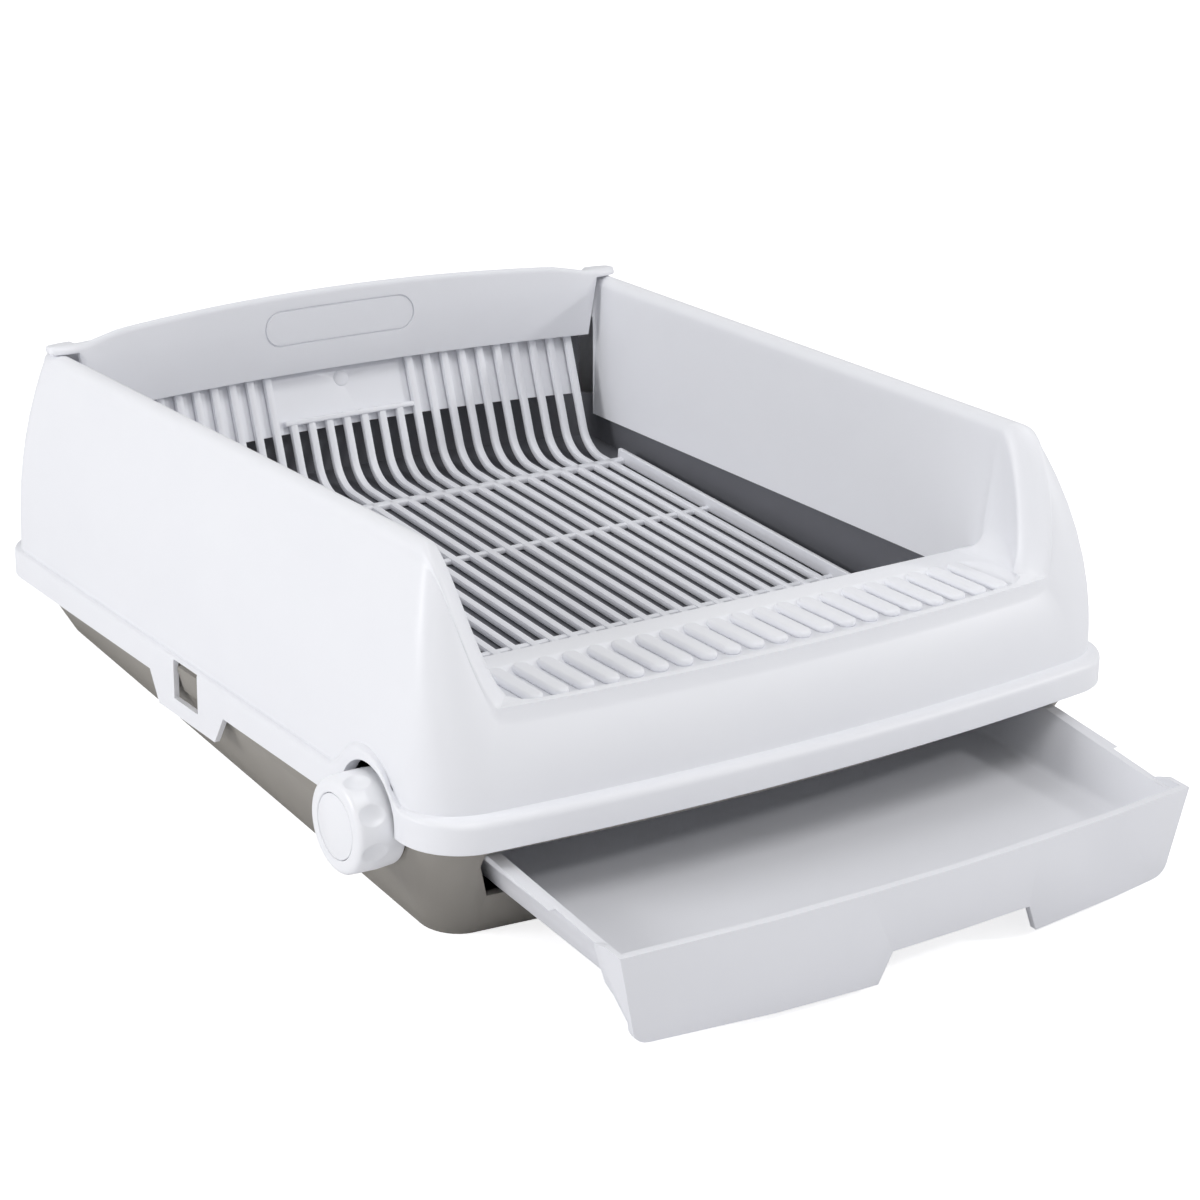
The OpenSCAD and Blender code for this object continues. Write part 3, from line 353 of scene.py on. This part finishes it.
def shell_section(station):
    """One section through the double wall, from the skirt's edge over the rolled top and back underneath."""
    rise, behind = station.rise(), station.behind()
    side_in = CREST_IN - 0.015 * station.rim(CREST_IN)[1]
    c = mix(24, side_in, rise)
    h = mix(STEP_H, WALL_H, rise)
    r = CREST_R
    floor_h = mix(STEP_H, REAR_LIP_H + WALL + 0.4, behind)
    lip = mix(SKIN_H, REAR_LIP_H, behind)
    beside_tread = ease((TREAD_BACK + 2 - station.rim(c + 14)[1]) / 12)
    fillet = mix(1.6, FILLET, rise * beside_tread)

    def inner(height):
        """How far in the inner skin stands at a height."""
        straight = c + r + 0.1 + 2.9 * (h - r - height) / (h - r - lip)
        return mix(straight, c + r + 1.4 + fillet, beside_tread)

    foot = floor_h + max(10 * rise * (1 - beside_tread), 1.3 * fillet * rise)
    thick = WALL + RIB_H * (1 - behind)
    bead = bead_height(station)
    bead_in = mix(BEAD_IN, SIDE_BEAD_IN, rise)
    bead_r = bead_in * 0.62
    base_h = SKIRT_H + 0.6

    def on_rim(d, height):
        x, y = station.rim(d)
        return x, y, height

    def wall_at(f, t):
        d0, d1 = bead_in + t, c - r + t
        return on_rim(d0 + (d1 - d0) * f ** 2.3, base_h + (h - r - base_h) * f)

    def skin(t, height, back=0.0):
        x, y = station.rim(inner(height) - t)
        limit = TREAD_BACK - t - back
        return x, limit + (y - limit) * 0.02 if y < limit else y, height

    start = (bead + 0.6 - base_h) / (h - r - base_h)
    points = [on_rim(0.4, 0), on_rim(0, 0.5)]
    for k in range(7):
        w = math.radians(90 * k / 6)
        points.append(on_rim(bead_r * (1 - math.cos(w)), bead - bead_r + bead_r * math.sin(w)))
    points.append(on_rim(bead_in * 0.85, bead + 0.1))
    for f in (0, 0.01, 0.03, 0.07, 0.14, 0.24, 0.36, 0.48, 0.6, 0.72, 0.84, 0.93, 0.98):
        points.append(wall_at(mix(start, 1, f), 0))
    for k in range(13):
        w = math.radians(180 - 15 * k)
        points.append(on_rim(c + r * math.cos(w), max(h - r + r * math.sin(w), floor_h)))
    points.append(on_rim(c + r + 0.1, max(mix(h - r, foot, 0.06), floor_h)))
    height = mix(foot, h - r, 0.06 * rise)
    points.append(on_rim(mix(inner(height), c + r + 0.5, beside_tread), height))
    for k in range(1, 10):
        w = math.radians(10 * k)
        height = mix(foot, floor_h, math.sin(w))
        hollow = c + r + 0.6 + fillet * (1 - math.cos(w))
        points.append(on_rim(mix(inner(height), hollow, beside_tread), height))
    points += [skin(0, floor_h - 0.2, 2), skin(0, floor_h - 0.5, 0.6), skin(0, floor_h - 2), skin(0, lip)]
    points += [skin(WALL, lip), skin(WALL, floor_h - thick)]
    points.append(on_rim(c + r - WALL, min(h - r, floor_h - thick + 8 * rise)))
    points.append(on_rim(c + (r - WALL) * rise, h - WALL - 0.4))
    points.append(on_rim(c - (r - WALL), h - WALL - 1))
    points += [wall_at(f, WALL) for f in (0.85, 0.6, 0.3)]
    points += [on_rim(bead_in + WALL, SKIRT_H - WALL), on_rim(WALL, SKIRT_H - WALL - 1), on_rim(WALL, 0)]
    return points


def ring_of_sections(name, sections):
    """Skins sections that each have the same number of points into a closed ring."""
    mesh = bpy.data.meshes.new(name)
    n, k = len(sections), len(sections[0])
    places = [p for section in sections for p in section]
    faces = [(i * k + j, ((i + 1) % n) * k + j, ((i + 1) % n) * k + (j + 1) % k, i * k + (j + 1) % k)
             for i in range(n) for j in range(k)]
    mesh.from_pydata(places, [], faces)
    piece = bpy.data.objects.new(name, mesh)
    bpy.context.scene.collection.objects.link(piece)
    return piece


def drawn_through(name, sections):
    """Skins closed sections that each have the same number of points, and closes both ends."""
    mesh = bpy.data.meshes.new(name)
    n, k = len(sections), len(sections[0])
    places = [p for section in sections for p in section]
    faces = [(i * k + j, (i + 1) * k + j, (i + 1) * k + (j + 1) % k, i * k + (j + 1) % k)
             for i in range(n - 1) for j in range(k)]
    mesh.from_pydata(places, [], faces + [list(range(k)), list(range((n - 1) * k, n * k))])
    piece = bpy.data.objects.new(name, mesh)
    bpy.context.scene.collection.objects.link(piece)
    return piece


def softened(outline, reach):
    """A closed outline with every corner rounded off, three points in place of one."""
    corners = [Vector(p) for p in outline]
    points = []
    for k, corner in enumerate(corners):
        before, after = corners[k - 1], corners[(k + 1) % len(corners)]
        a = corner + (before - corner) * min(0.4, reach / (before - corner).length)
        b = corner + (after - corner) * min(0.4, reach / (after - corner).length)
        points += [a, (a + 2 * corner + b) / 4, b]
    return points


def join(name, pieces):
    """Makes several pieces one object."""
    deselect()
    for piece in pieces:
        piece.select_set(True)
    bpy.context.view_layer.objects.active = pieces[0]
    bpy.ops.object.join()
    pieces[0].name = name
    return pieces[0]


def stations():
    """Steps along the outline, close together round the corners, beside the tread and over the knob."""
    for stretch, count in enumerate((48, 26, 96, 20, 32, 20, 24, 26)):
        steps = [k / count for k in range(count)]
        if stretch == 6:
            steps = [0.8 * k / 20 for k in range(20)] + [0.8 + 0.2 * k / 64 for k in range(64)]
        for f in steps:
            yield Station(stretch, f)


def outward(piece):
    """Merges doubled points and turns every face outwards."""
    pick(piece)
    bpy.ops.object.mode_set(mode="EDIT")
    bpy.ops.mesh.select_all(action="SELECT")
    bpy.ops.mesh.remove_doubles(threshold=0.00002)
    bpy.ops.mesh.normals_make_consistent(inside=False)
    bpy.ops.object.mode_set(mode="OBJECT")


def block(size, place, turn=(0, 0, 0)):
    """A box in metres, from its size and its middle in millimetres."""
    deselect()
    bpy.ops.mesh.primitive_cube_add(size=1, location=[v * MM for v in place], rotation=turn)
    made = bpy.context.object
    made.scale = [v * MM for v in size]
    settle(made)
    return made


def rod(r, x0, x1, y=AXIS_Y, z=AXIS_Z, vertices=96):
    """A cylinder along X, on the turning axis unless told otherwise."""
    deselect()
    bpy.ops.mesh.primitive_cylinder_add(
        vertices=vertices, radius=r * MM, depth=abs(x1 - x0) * MM,
        location=((x0 + x1) / 2 * MM, y * MM, z * MM), rotation=(0, math.pi / 2, 0))
    made = bpy.context.object
    settle(made)
    return made


def tilted_block(size, place):
    """A box drawn level in the upper body's frame."""
    made = block(size, (0, 0, 0))
    made.data.transform(Matrix.Scale(1 / MM, 4))
    made.data.transform(Matrix.Translation(place))
    upright(made)
    return made


def upper_body():
    """The double wall with its clip tabs, windows, tread pan and arch over the knob."""
    shell = ring_of_sections("upper_body_shell", [shell_section(s) for s in stations()])
    upright(shell)
    outward(shell)
    for side in (-1, 1):
        tab = clip_tab(side)
        modify(shell, "BOOLEAN", operation="UNION", solver="EXACT", object=tab)
        bpy.data.objects.remove(tab)
    for side in (-1, 1):
        window = tilted_block((3 * WALL, WINDOW_W, WINDOW_H), (side * BODY_W / 2, 0, WINDOW_MID))
        cut_away(shell, window, careful=True)
    cut_away(shell, tread_recess())
    left = -BODY_W / 2
    arch_z = AXIS_Z + ARCH_UP
    cut_away(shell, rod(ARCH_R, left - 5, left + ARCH_DEEP, z=arch_z))
    cut_away(shell, block((ARCH_DEEP + 5, 2 * ARCH_R, 60), (left + (ARCH_DEEP - 5) / 2, AXIS_Y, arch_z - 30)))
    cut_away(shell, rod(STEM_R + 1.5, left - 5, left + 16))
    smooth(shell, 32)
    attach(shell, "box")
    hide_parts("shroud")
    return shell


def tread_recess():
    """Shallow pan in the entry step round the ribs: rounded corners, soft edges, a front edge that bows."""
    sections = []
    for out, depth in PAN_EDGE:
        a, r, z = PAN_HALF + out, PAN_R + out, STEP_H - depth
        section = []
        for sx, sy, turn in ((1, 1, 0), (-1, 1, 90), (-1, -1, 180), (1, -1, 270)):
            edge = PAN_REAR + out if sy > 0 else PAN_FRONT - out
            for k in range(9):
                w = math.radians(turn + 90 * k / 8)
                section.append([sx * (a - r) + r * math.cos(w), edge - sy * r + r * math.sin(w), z])
            if turn == 180:
                section += [[x, edge, z] for x in range(-130, 131, 13)]
        for place in section:
            if place[1] < (PAN_FRONT + PAN_REAR) / 2:
                place[1] += PAN_BOW * (place[0] / PAN_HALF) ** 2
        sections.append(section)
    pan = drawn_through("tread_recess", sections)
    upright(pan)
    outward(pan)
    return pan


def clip_tab(side):
    """Tab of the skirt, wide end up, with slanted sides below the skirt's edge."""
    top = SKIRT_H - 6
    made = block((WALL, TAB_W, TAB_H), (0, 0, 0))
    made.data.transform(Matrix.Scale(1 / MM, 4))
    bm = bmesh.new()
    bm.from_mesh(made.data)
    for v in bm.verts:
        v.co.z = -TAB_H if v.co.z < 0 else 0
        if v.co.z == 0:
            v.co.y += TAB_FLARE if v.co.y > 0 else -TAB_FLARE
    raised = bmesh.ops.extrude_face_region(bm, geom=[f for f in bm.faces if f.calc_center_median().z > -0.1])
    for v in raised["geom"]:
        if isinstance(v, bmesh.types.BMVert):
            v.co.z = top
    doomed = [f for f in bm.faces if abs(f.calc_center_median().z) < 0.01 and abs(f.normal.z) > 0.9]
    bmesh.ops.delete(bm, geom=doomed, context="FACES_ONLY")
    bmesh.ops.translate(bm, verts=bm.verts, vec=(side * (BODY_W / 2 - WALL / 2), 0, 0))
    bm.to_mesh(made.data)
    bm.free()
    upright(made)
    outward(made)
    return made


def tread_ribs():
    """Rounded ribs on the entry step: one is shaped, the others are its copies."""
    deselect()
    bpy.ops.mesh.primitive_cylinder_add(vertices=32, radius=RIB_W / 2, depth=RIB_BODY_H)
    rib = bpy.context.object
    rib.name = "tread_ribs"
    for v in rib.data.vertices:
        v.co.y += (RIB_L - RIB_W) / 2 * (1 if v.co.y > 0.01 else -1)
    modify(rib, "BEVEL", width=2, segments=5, limit_method="ANGLE", angle_limit=math.radians(60))
    middle = (TREAD_BACK - BODY_L / 2 + 18) / 2 - 1
    bm = bmesh.new()
    for k in range(RIB_COUNT):
        one = rib.data.copy()
        x = (k - (RIB_COUNT - 1) / 2) * RIB_PITCH
        one.transform(Matrix.Translation((x, middle, STEP_H - RIB_BODY_H / 2)))
        bm.from_mesh(one)
        bpy.data.meshes.remove(one)
    bm.to_mesh(rib.data)
    bm.free()
    upright(rib)
    smooth(rib, 40)
    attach(rib, "box")
    return rib


def dress(piece, material):
    """Gives a finished piece its material."""
    piece.data.materials.clear()
    piece.data.materials.append(material)


def rounded(piece, edge, segments=3):
    """The piece with its edges rounded by so many millimetres."""
    modify(piece, "BEVEL", width=edge * MM, segments=segments, limit_method="ANGLE",
           angle_limit=math.radians(30))
    return piece


# ---- the comb, its panel and the guard's boss ----

def bow(x):
    """How far the rear end of the comb comes forward at x, for the rear wall bows."""
    return COMB_BOW * (2 * x / HANDLE_W) ** 2


def on_slope(z, out, forward):
    """Place on the bars' rear slope at height z, out in front of their rear faces."""
    return FOOT_Y - forward + (z - BAR_Z) / math.tan(SLOPE) - out / math.sin(SLOPE)


def comb_bar(x, forward, top):
    """One bar: a rounded section drawn back along the floor, round the bend and up the slope."""
    bend_y, r = FOOT_Y - forward - BEND_R * math.tan(SLOPE / 2), BEND_R - BAR_T / 2
    way = [(COMB_FRONT + 0.5, BAR_Z + BAR_T / 2, 0)]
    way += [(bend_y + r * math.sin(w), BAR_Z + BEND_R - r * math.cos(w), w)
            for w in (SLOPE * k / 9 for k in range(10))]
    way.append((on_slope(top, BAR_T / 2, forward), top, SLOPE))
    w, t = BAR_W / 2, BAR_T / 2
    section = softened([(-w, -t), (w, -t), (w, t), (-w, t)], 1.6)
    bar = drawn_through("comb_bar", [
        [(x + u, y - v * math.sin(turn), z + v * math.cos(turn)) for u, v in section] for y, z, turn in way])
    bar.data.transform(Matrix.Scale(MM, 4))
    return bar


def drill(piece, r, x, height, y0, y1):
    """Hole from front to back in a piece that stands nose-up."""
    deselect()
    bpy.ops.mesh.primitive_cylinder_add(vertices=32, radius=r, depth=y1 - y0, rotation=(math.pi / 2, 0, 0),
                                        location=(x, (y0 + y1) / 2, height))
    bit = bpy.context.object
    settle(bit)
    upright(bit)
    cut_away(piece, bit)


def sifting_comb():
    """Bars, cross bars, side rails with ears on the shaft, and the bowed rail that the panel is screwed to."""
    half = (BAR_COUNT - 1) / 2
    pieces = []
    for k in range(BAR_COUNT):
        x = (k - half) * BAR_PITCH
        cut = abs(x - WINDOW_X) < OPENING_W / 2
        pieces.append(comb_bar(x, bow(x), OPENING_Z if cut else BAR_TOP))
    pieces.append(rounded(block((2 * COMB_HALF, 7, BAR_T), (0, COMB_FRONT + 3.5, BAR_Z + BAR_T / 2)), 1.2))
    pieces.append(rounded(block((2 * COMB_HALF, 6, BAR_T), (0, COMB_END + 3, BAR_Z + BAR_T / 2)), 1.2))
    for y in (-60, 60):
        pieces.append(rounded(block((2 * COMB_HALF, 4, 3), (0, y + 2, BAR_Z + 1.5)), 0.8))
    ledge_z = OPENING_Z - 1.5
    pieces.append(rounded(block((OPENING_W + 4, 3.3, BAR_T), (WINDOW_X, on_slope(ledge_z, 2, 0.9), ledge_z),
                                (SLOPE, 0, 0)), 0.9))
    for side in (-1, 1):
        rail_l = COMB_END + 8 - COMB_FRONT
        pieces.append(rounded(block((SIDE_RAIL_W, rail_l, SIDE_RAIL_H), (
            side * (COMB_HALF - SIDE_RAIL_W / 2), COMB_FRONT + rail_l / 2, BAR_Z + SIDE_RAIL_H / 2)), 0.9))
        ear = rod(6.5, side * 166, side * 172)
        arm = block((6, 20, 6), (side * 169, AXIS_Y + 10, BAR_Z + 3))
        modify(ear, "BOOLEAN", operation="UNION", solver="EXACT", object=arm)
        bpy.data.objects.remove(arm)
        cut_away(ear, rod(4.1, side * 165, side * 173, vertices=48))
        pieces.append(rounded(ear, 0.5, 2))
    sections = []
    for k in range(-16, 17):
        x = k / 16 * (HANDLE_W / 2 - 6)
        sections.append([(x, y - bow(x), z) for y, z in softened(
            [(RAIL_FRONT, RAIL_LOW), (RAIL_FRONT, RAIL_TOP), (RAIL_BACK, RAIL_TOP), (RAIL_BACK, RAIL_LOW)], 0.8)])
    rail = drawn_through("head_rail", sections)
    upright(rail)
    outward(rail)
    for x in (-120, 120):
        drill(rail, 2.8, x, (RAIL_LOW + RAIL_TOP) / 2, RAIL_BACK - bow(x) - 2.4, RAIL_BACK + 10)
    pieces += [rail, rounded(tilted_block((24, 1.7, 17), (WINDOW_X, RAIL_BACK - 0.85, RAIL_LOW - 7.5)), 0.5)]
    comb = join("sifting_comb_moulded", pieces)
    outward(comb)
    smooth(comb, 40)
    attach(comb, "comb")
    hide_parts("sifting_comb")
    return comb


def panel_outline(x):
    """Section of the handle panel: a leaning face, a top rolled over backwards, and a hollow underneath."""
    rounding = 1 - (2 * x / HANDLE_W) ** 2
    f, top = PANEL_FRONT - bow(x), HANDLE_H + HANDLE_ARCH * rounding + 3 * min(1, 4 * rounding)
    return [(x, f + y, z) for y, z in softened([
        (0, PANEL_LOW), (1.5, PANEL_MID), (3, top - 3), (4, top - 0.9), (6, top - 0.3), (14, top - 4.4),
        (15, top - 7.2), (12.5, top - 6.6), (7, top - 4), (5, PANEL_MID), (3.5, PANEL_LOW)], 1.2)]


def hook_outline(x, swell=1.0):
    """Section of a hook, which lies over the side wall's rolled top."""
    f, low = PANEL_FRONT - COMB_BOW, WALL_H + 0.3
    n = 3 * (2 * (abs(x) - HANDLE_W / 2) / (HOOK_W - HANDLE_W)) ** 3
    middle = Vector((8, (low + HANDLE_H) / 2))
    return [(x, f + p[0], p[1]) for p in (middle + (q - middle) * swell for q in softened([
        (0.6 + n, low + 0.2), (0.2 + n, low + 1.2), (0.7 + n, HANDLE_H - 2.2), (2 + n, HANDLE_H - 0.9),
        (5, HANDLE_H - 0.3), (15 - n, HANDLE_H - 0.8), (16 - n, HANDLE_H - 2.4), (15.4 - n, low + 0.6),
        (11 - n / 2, low + 0.1), (7, low + 0.6), (3 + n / 2, low + 0.1)], 1.2))]


def grip_groove():
    """The thin moulded line round the grip, everywhere equally deep in the leaning, bowed face."""
    r, reach, middle = GRIP_H / 2 - 0.5, (GRIP_L - GRIP_H) / 2, PANEL_MID - 1.2
    line = [(reach * (1 - k / 10), r, 0, 1) for k in range(20)]
    line += [(-reach - r * math.sin(w), r * math.cos(w), -math.sin(w), math.cos(w))
             for w in (math.pi * k / 20 for k in range(20))]
    line += [(-x, -z, -nx, -nz) for x, z, nx, nz in line]
    sections = []
    for x, z, nx, nz in line:
        section = []
        for across, deep in ((-0.6, -3), (0.6, -3), (0.6, 0.5), (0.4, 1.1), (-0.4, 1.1), (-0.6, 0.5)):
            u, v = x + nx * across, middle + z + nz * across
            top = HANDLE_H + HANDLE_ARCH * (1 - (2 * u / HANDLE_W) ** 2)
            lean = 1.5 * (v - PANEL_LOW) / 30
            if v >= PANEL_MID:
                lean = 1.5 + 1.5 * (v - PANEL_MID) / (top - PANEL_MID)
            section.append((u, PANEL_FRONT - bow(u) + lean + deep, v))
        sections.append(section)
    groove = ring_of_sections("grip_groove", sections)
    upright(groove)
    outward(groove)
    return groove


def handle_panel():
    """The bowed panel between its two hooks, drawn from one side to the other."""
    half, end = HANDLE_W / 2, HOOK_W / 2
    tips = [(end + out, swell) for out, swell in ((-1.6, 1), (-0.6, 0.93), (0, 0.8), (0.4, 0.55))]
    right = [hook_outline(half + 6 + (end - 1.6 - half - 6) * k / 8) for k in range(8)]
    right += [hook_outline(x, swell) for x, swell in tips]
    left = [[(-x, y, z) for x, y, z in section] for section in reversed(right)]
    panel = drawn_through("handle_panel_moulded",
                          left + [panel_outline(half * k / 24) for k in range(-24, 25)] + right)
    upright(panel)
    outward(panel)
    cut_away(panel, grip_groove())
    smooth(panel, 35)
    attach(panel, "comb")
    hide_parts("handle_panel")
    return panel


def guard_boss():
    """Low dome of the guard's rivet, flat on the sloping plate, on a shank back to the comb's tab."""
    deselect()
    bpy.ops.mesh.primitive_uv_sphere_add(segments=48, ring_count=24, radius=BOSS_R * MM)
    dome = bpy.context.object
    dome.scale = (1, 1, 0.2)
    dome.rotation_euler = (SLOPE, 0, 0)
    dome.location = (WINDOW_X * MM, on_slope(BOSS_Z, -0.4, 0) * MM, BOSS_Z * MM)
    settle(dome)
    shank = tilted_block((3, 6, 3), (WINDOW_X, RAIL_BACK - 3, RAIL_LOW - 11))
    boss = join("guard_rivet_domed", [dome, shank])
    smooth(boss, 40)
    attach(boss, "comb")
    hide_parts("guard_rivet")
    return boss


# ---- the knob ----

def knob():
    """Turned body with a rounded face and finger hollows pressed in, every edge soft like the moulding's."""
    face = KNOB_RIM - KNOB_L
    profile = [(5.5, 2.2), (5.5, 5), (2.2, 5), (2.2, 16.4), (0.4, 16.4), (0, 16.9), (0, 20.2)]
    profile += [(3.4 - 3.4 * math.cos(w), 20.4 + 3.4 * math.sin(w))
                for w in (math.radians(10 * k) for k in range(1, 9))]
    profile += [(5.5, 24.1), (9, 24.5), (24.4, 23.6), (25.2, 23.3), (KNOB_L, 22.7), (KNOB_L, STEM_R),
                (31.4, STEM_R), (31.4, 4.05), (8.2, 4.05), (8.2, 2.2)]
    sections = []
    for k in range(160):
        w = 2 * math.pi * k / 160
        sections.append([((face + x) * MM, (AXIS_Y + r * math.cos(w)) * MM, (AXIS_Z + r * math.sin(w)) * MM)
                         for x, r in profile])
    body = ring_of_sections("knob_moulded", sections)
    outward(body)
    for k in range(8):
        w = math.radians(45 * k + 12)
        deselect()
        bpy.ops.mesh.primitive_uv_sphere_add(segments=64, ring_count=32, radius=9 * MM, location=(
            (face + 8) * MM, (AXIS_Y - 31.1 * math.sin(w)) * MM, (AXIS_Z + 31.1 * math.cos(w)) * MM))
        tip = bpy.context.object
        tip.scale = (1.3, 1, 1)
        settle(tip)
        cut_away(body, tip)
    modify(body, "REMESH", mode="VOXEL", voxel_size=0.4 * MM)
    modify(body, "SMOOTH", factor=0.5, iterations=7)
    smooth(body, 180)
    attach(body, frame["nodes"]["knob"]["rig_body"])
    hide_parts("knob")
    return body


# ---- the pieces and their finishes ----

dress(upper_body(), WHITE_PP)
dress(tread_ribs(), WHITE_PP)
dress(sifting_comb(), COMB_PP_PAINTED_LIGHT)
dress(handle_panel(), COMB_PP_PAINTED_LIGHT)
dress(guard_boss(), COMB_PP_PAINTED_LIGHT)
dress(knob(), KNOB_ABS)

for name, material, slot, edge in (
        ("base_pan", TAUPE_PP, "taupe_plastic", 0.8),
        ("litter_tray", TRAY_PP_PAINTED_SHADE, "tray_plastic", 0.8),
        ("rear_guard", COMB_PP_PAINTED_LIGHT, "comb_plastic", 0.6),
        ("drawer", DRAWER_PP, "drawer_plastic", 0.9),
        ("knob_cap", KNOB_ABS, "knob_plastic", 0.3),
        ("dump_gate", COMB_PP_PAINTED_LIGHT, "comb_plastic", 0.5)):
    dress(dressed(name, edge), material)

# The pieces whose own shape is right keep it and take their finish
for names, material in (
        (("left_bush", "right_bush"), BUSH_POM),
        (("left_bearing_cap", "right_bearing_cap"), TAUPE_PP),
        (("rubber_feet",), FOOT_RUBBER),
        (("handle_screws", "gate_shaft", "gate_pins", "spring_collar", "gate_spring", "shaft_clip",
          "knob_screw", "bearing_screws"), STEEL)):
    for name in names:
        node = frame["nodes"][name]
        for slot in node.material_slots:
            slot.material = material


# ---- studio ----

LOOK_AT = Vector((0, 0, 0.1))


def lamp(name, place, size, power):
    """A round white softbox, in metres and watts, which faces the middle of the box."""
    data = bpy.data.lights.new(name, "AREA")
    data.shape = "DISK"
    data.size = size
    data.energy = power
    made = bpy.data.objects.new(name, data)
    bpy.context.scene.collection.objects.link(made)
    made.location = place
    made.rotation_euler = (LOOK_AT - Vector(place)).to_track_quat("-Z", "Y").to_euler()


def white_room():
    """Even pale surroundings; seen straight on, or in a reflection, they are plain white."""
    world = bpy.data.worlds.new("white_studio")
    bpy.context.scene.world = world
    world.use_nodes = True
    tree = world.node_tree
    tree.nodes.clear()
    path = add(tree, "ShaderNodeLightPath")
    soft = add(tree, "ShaderNodeBackground", Color=tone("#FFFFFF"), Strength=0.5)
    plain = add(tree, "ShaderNodeBackground", Color=tone("#FFFFFF"), Strength=1.0)
    seen = add(tree, "ShaderNodeMixShader", {
        "Fac": path.outputs["Is Camera Ray"], 1: soft.outputs["Background"], 2: plain.outputs["Background"]})
    add(tree, "ShaderNodeOutputWorld", {"Surface": seen.outputs["Shader"]})


def pale_floor():
    """Wide pale floor that takes the box's shadow; seen straight on it is nearly white."""
    deselect()
    bpy.ops.mesh.primitive_circle_add(vertices=96, radius=6, fill_type="NGON", location=(0, 0, 0))
    floor = bpy.context.object
    floor.name = "studio_floor"
    material, tree = finish("pale_studio_floor")
    path = add(tree, "ShaderNodeLightPath")
    place = add(tree, "ShaderNodeTexCoord")
    cloud = add(tree, "ShaderNodeTexNoise", {"Vector": place.outputs["Object"]}, Scale=2.0, Detail=2)
    shade = add(tree, "ShaderNodeMix", {"Factor": cloud.outputs["Fac"]}, data_type="RGBA")
    shade.inputs[6].default_value = tone("#F4F4F6")
    shade.inputs[7].default_value = tone("#FAFAFC")
    matt = add(tree, "ShaderNodeBsdfDiffuse", {"Color": shade.outputs[2]})
    plain = add(tree, "ShaderNodeEmission", Color=tone("#FFFFFF"), Strength=0.72)
    lifted = add(tree, "ShaderNodeAddShader", {0: matt.outputs["BSDF"], 1: plain.outputs["Emission"]})
    seen = add(tree, "ShaderNodeMixShader", {
        "Fac": path.outputs["Is Camera Ray"], 1: matt.outputs["BSDF"], 2: lifted.outputs["Shader"]})
    add(tree, "ShaderNodeOutputMaterial", {"Surface": seen.outputs["Shader"]})
    floor.data.materials.append(material)


def camera():
    """A long lens from the front left, a little above, slightly rolled."""
    azimuth, elevation, roll = math.radians(-34.43), math.radians(21.96), math.radians(2.94)
    distance = 1.5631
    back = Vector((math.sin(azimuth) * math.cos(elevation), -math.cos(azimuth) * math.cos(elevation),
                   math.sin(elevation)))
    right = (-back).cross(Vector((0, 0, 1))).normalized()
    up = right.cross(-back)
    side = right * math.cos(roll) + up * math.sin(roll)
    top = up * math.cos(roll) - right * math.sin(roll)
    data = bpy.data.cameras.new("camera")
    data.sensor_width = 36
    data.lens = 84.22
    data.shift_x, data.shift_y = 0.0558, -0.0533
    made = bpy.data.objects.new("camera", data)
    bpy.context.scene.collection.objects.link(made)
    turn = Matrix((side, top, back)).transposed().to_4x4()
    made.matrix_world = Matrix.Translation(LOOK_AT + back * distance) @ turn
    bpy.context.scene.camera = made


white_room()
pale_floor()
lamp("overhead_softbox", (0.0, -0.8, 2.4), size=1.2, power=14)
lamp("high_lamp_right", (2.65, -1.9, 1.85), size=0.3, power=25)
lamp("high_fill_left", (-2.4, 0.3, 1.1), size=0.8, power=21)
camera()
bpy.context.scene.view_settings.view_transform = "Standard"
